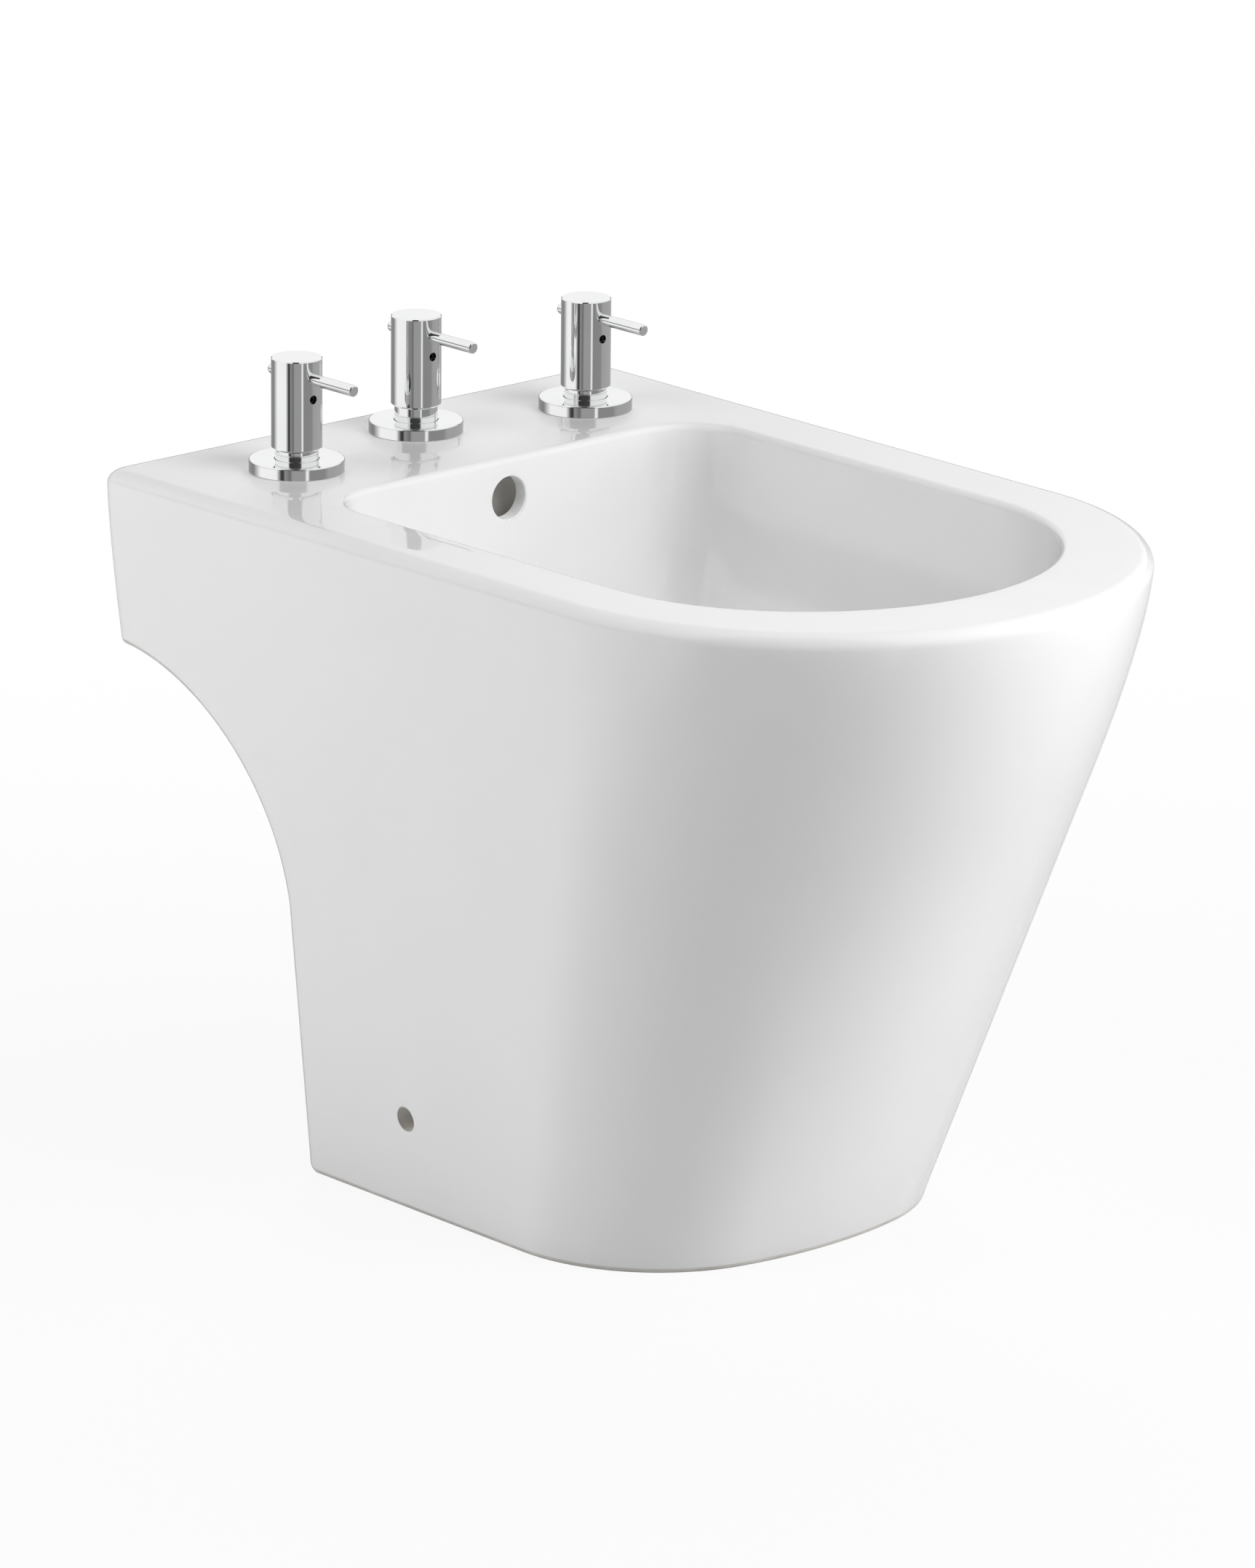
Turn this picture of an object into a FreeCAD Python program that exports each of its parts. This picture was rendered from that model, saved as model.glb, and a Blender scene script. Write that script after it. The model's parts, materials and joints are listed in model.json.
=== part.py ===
import FreeCAD, Part
import math
import os
import re
import Sketcher
from FreeCAD import Placement, Rotation, Vector

# Floor-standing bidet: a ceramic body, three lever taps on its deck, their plumbing, a spray and a waste.
# +Z is up, -Y is the front, the back faces a wall at +Y, and the origin is on the floor under the middle.

# Driving dimensions in millimetres. Places along the body are measured back from the front of the rim.
SIZES = {
    # Rim and skirt of the ceramic body
    "rim_length": 560.0,
    "rim_height": 396.0,
    "rim_half": 184.0,
    "rim_back_half": 188.0,
    "rim_arc_offset": 13.0,
    "rim_arc_setback": 9.0,
    "base_front": 164.4,
    "base_half": 134.0,
    "base_back_half": 130.0,
    "base_arc_offset": 36.5,
    "base_arc_setback": 4.0,
    "back_corner_radius": 9.0,
    "back_spare": 0.2,
    "rim_round": 8.0,
    "wall": 12.0,
    "deck_thickness": 14.0,
    # Cut-out behind the pedestal
    "cut_radius": 130.0,
    "cut_height": 165.0,
    "pedestal_back": 437.0,
    "pedestal_foot": 448.0,
    # Bowl
    "bowl_front": 61.0,
    "bowl_back": 430.0,
    "bowl_half": 134.0,
    "bowl_arc_offset": 12.0,
    "bowl_arc_setback": 7.0,
    "bowl_corner_radius": 38.0,
    "bowl_depth": 150.0,
    "floor_front": 206.0,
    "floor_back": 388.0,
    "floor_half": 58.0,
    "floor_arc_offset": 6.0,
    "floor_arc_setback": 3.5,
    "floor_corner_radius": 30.0,
    "lip_round": 7.0,
    # Overflow hole and the channel behind it
    "overflow_radius": 12.3,
    "overflow_drop": 23.5,
    "channel_half": 13.0,
    "channel_depth": 14.0,
    "channel_wall": 8.0,
    # Side fixing holes
    "fixing_radius": 7.0,
    "fixing_place": 355.5,
    "fixing_height": 56.0,
    # Places of the taps
    "tap_offset": 108.0,
    "tap_place": 486.0,
    "centre_tap_place": 509.0,
    "deck_hole_radius": 17.0,
    # Tap trim above the deck
    "flange_radius": 26.75,
    "flange_thickness": 6.9,
    "flange_edge": 0.5,
    "flange_recess_depth": 4.2,
    "trim_clearance": 0.35,
    "neck_radius": 12.25,
    "neck_wall": 1.1,
    "neck_show": 5.7,
    "neck_overlap": 5.2,
    "neck_groove_height": 3.0,
    "neck_groove_width": 0.5,
    "neck_groove_depth": 0.35,
    "centre_lift": 2.7,
    # Handle, lever and grub screw
    "handle_radius": 14.25,
    "handle_height": 52.0,
    "handle_foot_edge": 1.1,
    "handle_top_edge": 0.6,
    "handle_recess": 6.5,
    "handle_clearance": 0.4,
    "lever_radius": 3.2,
    "lever_front": 48.8,
    "lever_rear": 22.2,
    "lever_drop": 10.5,
    "lever_tip_edge": 0.6,
    "lever_rear_round": 2.0,
    "grub_radius": 2.45,
    "grub_drop": 22.0,
    "grub_recess": 2.0,
    "grub_socket_flats": 2.5,
    "grub_socket_depth": 2.5,
    "fit_clearance": 0.03,
    "running_clearance": 0.05,
    # Spindle, discs, seal and cartridge
    "spindle_radius": 4.0,
    "spindle_cover": 3.0,
    "spindle_foot_radius": 6.5,
    "spindle_foot_thickness": 3.0,
    "disc_radius": 6.5,
    "disc_thickness": 3.0,
    "disc_hole_radius": 1.6,
    "disc_hole_offset": 3.2,
    "seal_thickness": 2.0,
    "seal_hole_radius": 4.6,
    "disc_clearance": 0.3,
    "disc_gap": 0.05,
    "nose_radius": 8.8,
    "nose_window_radius": 1.4,
    "barrel_radius": 9.9,
    "collar_flats": 18.0,
    "collar_height": 6.0,
    "gland_radius": 8.0,
    "gland_height": 4.0,
    # Valve body and its fixings
    "shank_radius": 14.0,
    "shank_rise": 3.6,
    "shank_spare": 4.0,
    "chamber_radius": 17.0,
    "chamber_height": 25.0,
    "chamber_bore": 11.5,
    "seat_height": 9.0,
    "inlet_bore": 4.5,
    "tail_radius": 10.48,
    "tail_length": 18.0,
    "lock_ring_radius": 19.6,
    "lock_ring_thickness": 3.0,
    "deck_washer_radius": 22.5,
    "deck_washer_thickness": 3.0,
    "backing_nut_flats": 40.0,
    "backing_nut_thickness": 8.0,
    # Tubes and their nuts
    "tube_radius": 6.0,
    "tube_bore": 5.0,
    "port_radius": 8.5,
    "port_reach": 24.0,
    "port_socket": 8.0,
    "tube_nut_flats": 22.0,
    "tube_nut_length": 11.0,
    "tube_nut_wall": 4.5,
    "tube_lead": 2.0,
    "spray_tube_bend": 30.0,
    "spray_tube_side": 62.0,
    "spray_tube_drop": 62.0,
    "spray_tube_fall": 95.0,
    # Spray in the bowl floor
    "spray_place": 262.0,
    "spray_hole_radius": 11.0,
    "spray_head_radius": 20.0,
    "spray_head_height": 8.0,
    "spray_head_edge": 2.0,
    "spray_crown_radius": 8.5,
    "spray_shank_radius": 10.2,
    "spray_bore": 5.5,
    "spray_crown_thickness": 2.2,
    "spray_jet_radius": 0.8,
    "spray_jet_ring": 3.6,
    "spray_jets": 6,
    "spray_gasket_radius": 17.5,
    "spray_gasket_thickness": 1.5,
    "spray_washer_radius": 18.0,
    "spray_washer_thickness": 2.5,
    "spray_nut_flats": 30.0,
    "spray_nut_thickness": 8.0,
    "spray_spare": 4.0,
    # Waste in the bowl floor
    "drain_place": 340.0,
    "drain_radius": 22.5,
    "drain_recess_radius": 34.0,
    "drain_recess_depth": 4.5,
    "boss_radius": 36.0,
    "boss_length": 42.0,
    "waste_flange_radius": 32.0,
    "waste_flange_thickness": 3.0,
    "waste_radius": 20.95,
    "waste_bore": 17.5,
    "waste_length": 84.0,
    "waste_tail": 23.0,
    "waste_relief_width": 1.5,
    "waste_relief_depth": 0.6,
    "waste_slot_height": 12.0,
    "waste_bar_width": 6.0,
    "waste_bar_height": 6.0,
    "waste_bar_drop": 12.0,
    "upper_seal_radius": 29.0,
    "upper_seal_thickness": 1.5,
    "lower_seal_radius": 31.0,
    "lower_seal_thickness": 6.0,
    "waste_nut_flats": 58.0,
    "waste_nut_thickness": 10.0,
    # Plug and its click fitting
    "plug_radius": 28.0,
    "plug_thickness": 4.5,
    "plug_crown": 1.5,
    "plug_seal_radius": 24.0,
    "plug_seal_thickness": 2.5,
    "plug_seal_gap": 0.1,
    "stem_radius": 3.0,
    "stem_length": 30.0,
    "stem_collar_radius": 4.6,
    "stem_collar_thickness": 2.5,
    "click_radius": 6.4,
    "click_bore": 5.0,
    "click_cap": 2.0,
    "click_length": 34.0,
    "click_rise": 3.0,
    "click_hub_radius": 9.5,
    "spring_radius": 3.9,
    "spring_wire_radius": 0.4,
    "spring_turns": 6,
    # Shared by all cuts
    "overrun": 2.0,
}

# The skirt is straight over this share of its height, then eases to upright through sections at these shares
SKIRT_STRAIGHT_SHARE = 0.68
EASING_POWER = 1.35
EASING_SHARES = (0.0, 0.2, 0.4, 0.6, 0.8, 1.0)
# Angles in degrees of the sections round the edge of the rim and the lip of the bowl
ROUND_ANGLES = (0, 22.5, 45, 67.5, 90)
# The bowl's wall turns into its floor along a superellipse, cut into sections at these angles in degrees
BOWL_ANGLES = (0, 15, 30, 45, 60, 75, 90)
BOWL_POWER = 2.4
# Chamfer at the corners of a hexagon nut, as shares of the width across its flats
NUT_TOP_SHARE = 0.475
NUT_OUTER_SHARE = 0.6
NUT_DROP_SHARE = 0.072

doc = FreeCAD.newDocument("bidet")
sheet = doc.addObject("Spreadsheet::Sheet", "sizes")
for row, (alias, size) in enumerate(SIZES.items(), start=1):
    sheet.set(f"A{row}", alias)
    sheet.set(f"B{row}", str(size))
    sheet.setAlias(f"B{row}", alias)
doc.recompute()

nodes = []


# Expressions, written with the sheet's aliases

def full(text):
    """The expression with each alias pointing at the sheet."""
    return re.sub(r"[a-z_]\w*", lambda found: "sizes." + found[0] if found[0] in SIZES else found[0], text)


def number(text):
    """The expression's value now."""
    return float(sheet.evalExpression(full(text)))


def from_front(text):
    return f"rim_length / -2 + {text}"


def mix(low, high, share):
    return f"({low} + ({high} - {low}) * ({share}))"


# Bodies, sketches and features

def new_body(label, is_node=True):
    body = doc.addObject("PartDesign::Body", label)
    body.Label = label
    if is_node:
        nodes.append(body)
    return body


def place(thing, x="0", y="0", z="0", axis=None, angle=0):
    """Bind where a piece stands, after an optional turn about an axis."""
    if axis is not None:
        thing.Placement = Placement(Vector(), Rotation(Vector(*axis), angle))
    for name, text in zip("xyz", (x, y, z)):
        thing.setExpression(f"Placement.Base.{name}", full(text))


def new_sketch(body, role, offset="0"):
    """An empty sketch on one of the body's origin planes, moved along that plane's normal."""
    sketch = body.newObject("Sketcher::SketchObject", "sketch")
    plane = next(item for item in body.Origin.OriginFeatures if item.Role == role)
    sketch.AttachmentSupport = (plane, "")
    sketch.MapMode = "FlatFace"
    sketch.setExpression("AttachmentOffset.Base.z", full(offset))
    return sketch


def fix_point(sketch, geometry, position, x, y):
    """Bind a point of the sketch to two expressions; a zero puts it on the axis."""
    for kind, axis, text in (("DistanceX", -2, x), ("DistanceY", -1, y)):
        if number(text) == 0:
            sketch.addConstraint(Sketcher.Constraint("PointOnObject", geometry, position, axis))
            continue
        index = sketch.addConstraint(Sketcher.Constraint(kind, -1, 1, geometry, position, number(text)))
        sketch.setExpression(f"Constraints[{index}]", full(text))


def fix_radius(sketch, geometry, text):
    index = sketch.addConstraint(Sketcher.Constraint("Radius", geometry, number(text)))
    sketch.setExpression(f"Constraints[{index}]", full(text))


def draw_polygon(sketch, points):
    corners = [Vector(number(x), number(y)) for x, y in points]
    first = sketch.GeometryCount
    count = len(points)
    for index in range(count):
        sketch.addGeometry(Part.LineSegment(corners[index], corners[(index + 1) % count]))
    for index, (x, y) in enumerate(points):
        after = first + (index + 1) % count
        sketch.addConstraint(Sketcher.Constraint("Coincident", first + index, 2, after, 1))
        fix_point(sketch, first + index, 1, x, y)


def draw_circle(sketch, x, y, radius):
    middle = Vector(number(x), number(y))
    index = sketch.addGeometry(Part.Circle(middle, Vector(0, 0, 1), number(radius)))
    fix_point(sketch, index, 3, x, y)
    fix_radius(sketch, index, radius)


def hexagon_points(flats):
    """Corners of a hexagon, two of them on the X axis."""
    corner, half_corner, half_flats = f"{flats} / sqrt(3)", f"{flats} / sqrt(12)", f"{flats} / 2"
    return [(corner, "0"), (half_corner, half_flats), (f"-{half_corner}", half_flats),
            (f"-{corner}", "0"), (f"-{half_corner}", f"-{half_flats}"), (half_corner, f"-{half_flats}")]


def new_feature(body, kind, sketch):
    feature = body.newObject(f"PartDesign::{kind}", kind.lower())
    feature.Profile = sketch
    return feature


def revolve(body, points, cut=False):
    """Turn a profile of (radius, height) points about the body's Z axis."""
    sketch = new_sketch(body, "XZ_Plane")
    draw_polygon(sketch, points)
    feature = new_feature(body, "Groove" if cut else "Revolution", sketch)
    feature.ReferenceAxis = (sketch, ["V_Axis"])
    feature.Angle = 360
    return feature


def extrude(body, sketch, length, cut=False, backwards=False, both=False):
    """A pad along the sketch's normal, or a pocket against it."""
    feature = new_feature(body, "Pocket" if cut else "Pad", sketch)
    feature.setExpression("Length", full(length))
    feature.Reversed = backwards
    if both:
        feature.SideType = "Symmetric"
    return feature


def drill(body, role, offset, x, y, radius, length, backwards=False, both=False):
    """A round hole whose sketch lies on an origin plane."""
    sketch = new_sketch(body, role, offset)
    draw_circle(sketch, x, y, radius)
    return extrude(body, sketch, length, True, backwards, both)


def turned(label, points, is_node=True):
    body = new_body(label, is_node)
    revolve(body, points)
    return body


def ring(label, inner, outer, thickness, is_node=True):
    """A flat washer standing on its own XY plane."""
    return turned(label, [(inner, "0"), (outer, "0"), (outer, thickness), (inner, thickness)], is_node)


def round_edges(body, radius, wanted):
    """Fillet every edge for which wanted(edge) is true."""
    doc.recompute()
    base = body.Tip
    names = [f"Edge{count}" for count, edge in enumerate(base.Shape.Edges, start=1) if wanted(edge)]
    feature = body.newObject("PartDesign::Fillet", "fillet")
    feature.Base = (base, names)
    feature.setExpression("Radius", full(radius))


def hex_nut(label, flats, thickness, bore, is_node=True):
    """A nut on its own XY plane, with chamfered corners at both ends."""
    body = new_body(label, is_node)
    sketch = new_sketch(body, "XY_Plane")
    draw_polygon(sketch, hexagon_points(flats))
    extrude(body, sketch, thickness)
    top, outer, drop = (f"{flats} * {share}" for share in (NUT_TOP_SHARE, NUT_OUTER_SHARE, NUT_DROP_SHARE))
    revolve(body, [(top, "0"), (outer, "0"), (outer, drop)], cut=True)
    revolve(body, [(top, thickness), (outer, thickness), (outer, f"{thickness} - {drop}")], cut=True)
    drill(body, "XY_Plane", thickness, "0", "0", bore, thickness)
    return body


def group(label, members):
    """Identical pieces that share one node."""
    compound = doc.addObject("Part::Compound", label)
    compound.Label = label
    compound.Links = members
    nodes.append(compound)


# Ceramic body

def d_outline(body, height, front, half, arc_offset, arc_setback, back_half, back, corner):
    """A closed D: a front arc, two shoulder arcs, straight sides and a back with rounded corners."""
    sketch = new_sketch(body, "XY_Plane", height)
    radius = f"({half} - {arc_offset})"
    reach = f"({radius} + {arc_setback})"
    front_radius = f"({radius} + {arc_setback} / 2 + ({arc_offset})^2 / (2 * {arc_setback}))"
    shoulder_size, front_size, corner_size = number(radius), number(front_radius), number(corner)
    shoulder = Vector(number(arc_offset), number(front) + number(reach))
    nose = Vector(0, number(front) + front_size)
    rear = Vector(number(back_half) - corner_size, number(back) - corner_size)
    join = shoulder - nose
    join_angle = math.atan2(join.y, join.x)
    along = (rear - shoulder).normalize()
    lean = (shoulder_size - corner_size) / (rear - shoulder).Length
    outward = along * lean + Vector(along.y, -along.x) * math.sqrt(1 - lean ** 2)
    side_angle = math.atan2(outward.y, outward.x)
    side_start, side_end = shoulder + outward * shoulder_size, rear + outward * corner_size
    back_end = rear + Vector(0, corner_size)

    def mirrored(point):
        return Vector(-point.x, point.y)

    def arc(middle, size, start, end):
        return Part.ArcOfCircle(Part.Circle(middle, Vector(0, 0, 1), size), start, end)

    sketch.addGeometry([
        arc(nose, front_size, -math.pi - join_angle, join_angle),
        arc(shoulder, shoulder_size, join_angle, side_angle),
        Part.LineSegment(side_start, side_end),
        arc(rear, corner_size, side_angle, math.pi / 2),
        Part.LineSegment(back_end, mirrored(back_end)),
        arc(mirrored(rear), corner_size, math.pi / 2, math.pi - side_angle),
        Part.LineSegment(mirrored(side_end), mirrored(side_start)),
        arc(mirrored(shoulder), shoulder_size, math.pi - side_angle, math.pi - join_angle),
    ])
    count = sketch.GeometryCount
    for index in range(count):
        sketch.addConstraint(Sketcher.Constraint("Tangent", index, 2, (index + 1) % count, 1))
    fix_point(sketch, 1, 3, arc_offset, f"{front} + {reach}")
    fix_radius(sketch, 1, radius)
    fix_point(sketch, 3, 3, f"{back_half} - {corner}", f"{back} - {corner}")
    fix_radius(sketch, 3, corner)
    for right, left in ((1, 7), (3, 5)):
        sketch.addConstraint(Sketcher.Constraint("Symmetric", right, 3, left, 3, -2))
        sketch.addConstraint(Sketcher.Constraint("Equal", right, left))
    fix_radius(sketch, 0, front_radius)
    return sketch


SKIRT_TOP = "(rim_height - rim_round)"
SKIRT_KNEE = f"({SKIRT_TOP} * {SKIRT_STRAIGHT_SHARE})"
LIP_FOOT = "(rim_height - lip_round)"


def skirt_growth(height):
    """How far the skirt has grown from base to rim at a height: straight, then easing to upright."""
    share = f"(({height}) / {SKIRT_TOP})"
    eased_share = 1 - SKIRT_STRAIGHT_SHARE
    slope = EASING_POWER / (EASING_POWER * SKIRT_STRAIGHT_SHARE + eased_share)
    if number(share) <= SKIRT_STRAIGHT_SHARE:
        return f"{slope:.6f} * {share}"
    left = f"((1 - {share}) / {eased_share:.6f})^{EASING_POWER}"
    return f"1 - {slope * eased_share / EASING_POWER:.6f} * {left}"


def skirt_section(body, height, inset, grown):
    front = from_front(f"base_front * (1 - ({grown})) + {inset}")
    half = f"({mix('base_half', 'rim_half', grown)} - {inset})"
    back_half = f"({mix('base_back_half', 'rim_back_half', grown)} - {inset})"
    arc_offset = mix("base_arc_offset", "rim_arc_offset", grown)
    arc_setback = mix("base_arc_setback", "rim_arc_setback", grown)
    back = f"(rim_length / 2 + back_spare - {inset})"
    return d_outline(body, height, front, half, arc_offset, arc_setback, back_half, back,
                     "back_corner_radius")


def bowl_section(body, angle, spread, top, depth):
    """A section of the bowl at an angle along its wall, spread outwards and hung below top."""
    down = math.sin(math.radians(angle)) ** (2 / BOWL_POWER)
    drawn_in = f"{1 - abs(math.cos(math.radians(angle))) ** (2 / BOWL_POWER):.6f}"
    front = from_front(f"({mix('bowl_front', 'floor_front', drawn_in)} - {spread})")
    back = from_front(f"{mix('bowl_back', 'floor_back', drawn_in)} + {spread}")
    half = f"({mix('bowl_half', 'floor_half', drawn_in)} + {spread})"
    arc_offset = mix("bowl_arc_offset", "floor_arc_offset", drawn_in)
    arc_setback = mix("bowl_arc_setback", "floor_arc_setback", drawn_in)
    corner = f"({mix('bowl_corner_radius', 'floor_corner_radius', drawn_in)} + {spread})"
    height = f"{top} - ({depth}) * {down:.6f}"
    return d_outline(body, height, front, half, arc_offset, arc_setback, half, f"({back})", corner)


def round_steps(radius):
    """Rise and inset of the sections of a quarter round, from upright to level."""
    for angle in ROUND_ANGLES:
        turn = math.radians(angle)
        yield f"{radius} * {math.sin(turn):.6f}", f"{radius} * {1 - math.cos(turn):.6f}"


def loft(body, kind, sections):
    feature = new_feature(body, kind, sections[0])
    feature.Sections = sections[1:]
    doc.recompute()


def skirt(body, kind, inset, top):
    """The skirt's outside or its hollow: straight up to the knee, then eased up to the top."""
    for heights in (("0", SKIRT_KNEE), [mix(SKIRT_KNEE, top, share) for share in EASING_SHARES]):
        loft(body, kind, [skirt_section(body, height, inset, skirt_growth(height)) for height in heights])


def flatten_back(body):
    """Cut off the spare that the sections carry behind, so that a flat face meets the wall."""
    sketch = new_sketch(body, "XZ_Plane", "rim_length / -2")
    half, top = "(rim_back_half + overrun)", "rim_height + overrun"
    draw_polygon(sketch, [(f"-{half}", "0"), (half, "0"), (half, top), (f"-{half}", top)])
    extrude(body, sketch, "overrun", cut=True)


def cut_behind_pedestal(body):
    """The quarter-round clearance below the deck and behind the pedestal."""
    middle_y = from_front("pedestal_back + cut_radius")
    sketch = new_sketch(body, "YZ_Plane")
    foot = Vector(number(from_front("pedestal_foot")), 0)
    knee = Vector(number(from_front("pedestal_back")), number("cut_height"))
    middle = Vector(number(middle_y), number("cut_height"))
    top = Vector(middle.x, number("cut_height + cut_radius"))
    floor = Vector(middle.x, 0)
    circle = Part.Circle(middle, Vector(0, 0, 1), number("cut_radius"))
    sketch.addGeometry([
        Part.LineSegment(foot, knee),
        Part.ArcOfCircle(circle, math.pi / 2, math.pi),
        Part.LineSegment(top, floor),
        Part.LineSegment(floor, foot),
    ])
    for first, end, second, start in ((0, 2, 1, 2), (1, 1, 2, 1), (2, 2, 3, 1), (3, 2, 0, 1)):
        sketch.addConstraint(Sketcher.Constraint("Coincident", first, end, second, start))
    fix_point(sketch, 0, 1, from_front("pedestal_foot"), "0")
    fix_point(sketch, 0, 2, from_front("pedestal_back"), "cut_height")
    fix_radius(sketch, 1, "cut_radius")
    fix_point(sketch, 2, 1, middle_y, "cut_height + cut_radius")
    fix_point(sketch, 2, 2, middle_y, "0")
    extrude(body, sketch, "rim_back_half * 2 + overrun", cut=True, both=True)


BOWL_FLOOR = "(rim_height - bowl_depth)"
BOSS_FOOT = f"({BOWL_FLOOR} - boss_length)"
CHANNEL_FRONT = "(bowl_back + channel_wall)"
CHANNEL_TOP = "(rim_height - overflow_drop + overflow_radius)"
CHANNEL_CEILING = f"({BOWL_FLOOR} - wall - channel_wall)"


def channel_points(spread):
    """Side view of the overflow channel: down behind the bowl, then forward under it to the drain."""
    front = from_front(f"{CHANNEL_FRONT} - {spread}")
    back = from_front(f"{CHANNEL_FRONT} + channel_depth + {spread}")
    ceiling, floor = f"{CHANNEL_CEILING} + {spread}", f"{CHANNEL_CEILING} - channel_depth - {spread}"
    return [(front, CHANNEL_TOP), (back, CHANNEL_TOP), (back, floor), (from_front("drain_place"), floor),
            (from_front("drain_place"), ceiling), (front, ceiling)]


def make_ceramic_body():
    body = new_body("ceramic_body")
    skirt(body, "AdditiveLoft", "0", SKIRT_TOP)
    loft(body, "AdditiveLoft", [skirt_section(body, f"{SKIRT_TOP} + {rise}", inset, "1")
                                for rise, inset in round_steps("rim_round")])
    skirt(body, "SubtractiveLoft", "wall", "(rim_height - deck_thickness)")
    flatten_back(body)
    cut_behind_pedestal(body)
    under_deck = "(rim_height - deck_thickness / 2)"
    shell_depth = f"{under_deck} - {BOWL_FLOOR} + wall"
    loft(body, "AdditiveLoft",
         [bowl_section(body, angle, "wall", under_deck, shell_depth) for angle in BOWL_ANGLES])
    sketch = new_sketch(body, "YZ_Plane")
    draw_polygon(sketch, channel_points("channel_wall"))
    extrude(body, sketch, "(channel_half + channel_wall) * 2", both=True)
    sketch = new_sketch(body, "XY_Plane", BOSS_FOOT)
    draw_circle(sketch, "0", from_front("drain_place"), "boss_radius")
    extrude(body, sketch, "boss_length")
    loft(body, "SubtractiveLoft",
         [bowl_section(body, angle, "0", LIP_FOOT, "bowl_depth - lip_round") for angle in BOWL_ANGLES])
    loft(body, "SubtractiveLoft", [bowl_section(body, 0, inset, f"{LIP_FOOT} + {rise}", "0")
                                   for rise, inset in round_steps("lip_round")])
    sketch = new_sketch(body, "YZ_Plane")
    draw_polygon(sketch, channel_points("0"))
    extrude(body, sketch, "channel_half * 2", cut=True, both=True)
    drill(body, "XZ_Plane", f"-({from_front(CHANNEL_FRONT + ' + channel_depth')})", "0",
          "rim_height - overflow_drop", "overflow_radius",
          "channel_depth + channel_wall + bowl_corner_radius", backwards=True)
    for radius, depth in (("drain_recess_radius", "drain_recess_depth"), ("drain_radius", "boss_length")):
        drill(body, "XY_Plane", BOWL_FLOOR, "0", from_front("drain_place"), radius, depth)
    drill(body, "XY_Plane", BOWL_FLOOR, "0", from_front("spray_place"), "spray_hole_radius",
          "wall + overrun")
    for x, y in (("-tap_offset", "tap_place"), ("0", "centre_tap_place"), ("tap_offset", "tap_place")):
        drill(body, "XY_Plane", "rim_height", x, from_front(y), "deck_hole_radius",
              "deck_thickness + overrun")
    drill(body, "YZ_Plane", "0", from_front("fixing_place"), "fixing_height", "fixing_radius",
          "rim_back_half * 2", both=True)


# Depths below the deck, shared by the pieces of a tap
NUT_TOP = "(deck_thickness + deck_washer_thickness)"
CHAMBER_TOP = f"({NUT_TOP} + backing_nut_thickness + shank_spare)"
CHAMBER_FOOT = f"({CHAMBER_TOP} + chamber_height)"
SEAT = f"({CHAMBER_FOOT} - seat_height)"
TAIL_FOOT = f"({CHAMBER_FOOT} + tail_length)"
PORT_DROP = f"({CHAMBER_TOP} + chamber_height / 2)"
# Heights above the cartridge's seat
DISC_STACK = "(seal_thickness + disc_thickness * 2 + disc_gap)"
DISC_CHAMBER = f"({DISC_STACK} + spindle_foot_thickness + disc_clearance)"
SPINDLE_TOP = "(handle_height - lever_drop - lever_radius - spindle_cover)"


class Tap:
    """Where one tap stands and how far its handle is lifted."""

    def __init__(self, name, x, y, lift):
        self.name, self.x, self.y, self.lift = name, x, from_front(y), lift

    def put(self, body, above_deck, **turn):
        place(body, self.x, self.y, f"rim_height + {above_deck}", **turn)
        return body

    def handle_foot(self):
        return f"(flange_thickness + neck_show + {self.lift})"


TAPS = (Tap("hot", "-tap_offset", "tap_place", "0"),
        Tap("spray", "0", "centre_tap_place", "centre_lift"),
        Tap("cold", "tap_offset", "tap_place", "0"))


def make_flange(tap):
    hole, recess = "neck_radius + trim_clearance", "lock_ring_radius + trim_clearance"
    tap.put(turned(f"{tap.name}_flange", [
        (hole, "flange_recess_depth"), (recess, "flange_recess_depth"), (recess, "0"),
        ("flange_radius", "0"), ("flange_radius", "flange_thickness - flange_edge"),
        ("flange_radius - flange_edge", "flange_thickness"), (hole, "flange_thickness")]), "0")


def make_neck(tap):
    inner, groove = "neck_radius - neck_wall", "neck_radius - neck_groove_depth"
    line = "flange_thickness + neck_groove_height"
    top = f"{tap.handle_foot()} + neck_overlap"
    tap.put(turned(f"{tap.name}_neck", [
        (inner, "shank_rise"), ("neck_radius", "shank_rise"), ("neck_radius", line), (groove, line),
        (groove, f"{line} + neck_groove_width"), ("neck_radius", f"{line} + neck_groove_width"),
        ("neck_radius", top), (inner, top)]), "0")


def make_handle(tap):
    recess, socket = "neck_radius + handle_clearance", "spindle_radius + fit_clearance"
    body = turned(f"{tap.name}_handle", [
        ("0", SPINDLE_TOP), ("0", "handle_height"), ("handle_radius - handle_top_edge", "handle_height"),
        ("handle_radius", "handle_height - handle_top_edge"), ("handle_radius", "handle_foot_edge"),
        ("handle_radius - handle_foot_edge", "0"), (recess, "0"), (recess, "handle_recess"),
        (socket, "handle_recess"), (socket, SPINDLE_TOP)])
    drill(body, "XZ_Plane", "0", "0", "handle_height - lever_drop", "lever_radius + fit_clearance",
          "handle_radius * 2 + overrun", both=True)
    drill(body, "XZ_Plane", "0", "0", "handle_height - grub_drop", "grub_radius + fit_clearance",
          "handle_radius + overrun", backwards=True)
    tap.put(body, tap.handle_foot())


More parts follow.
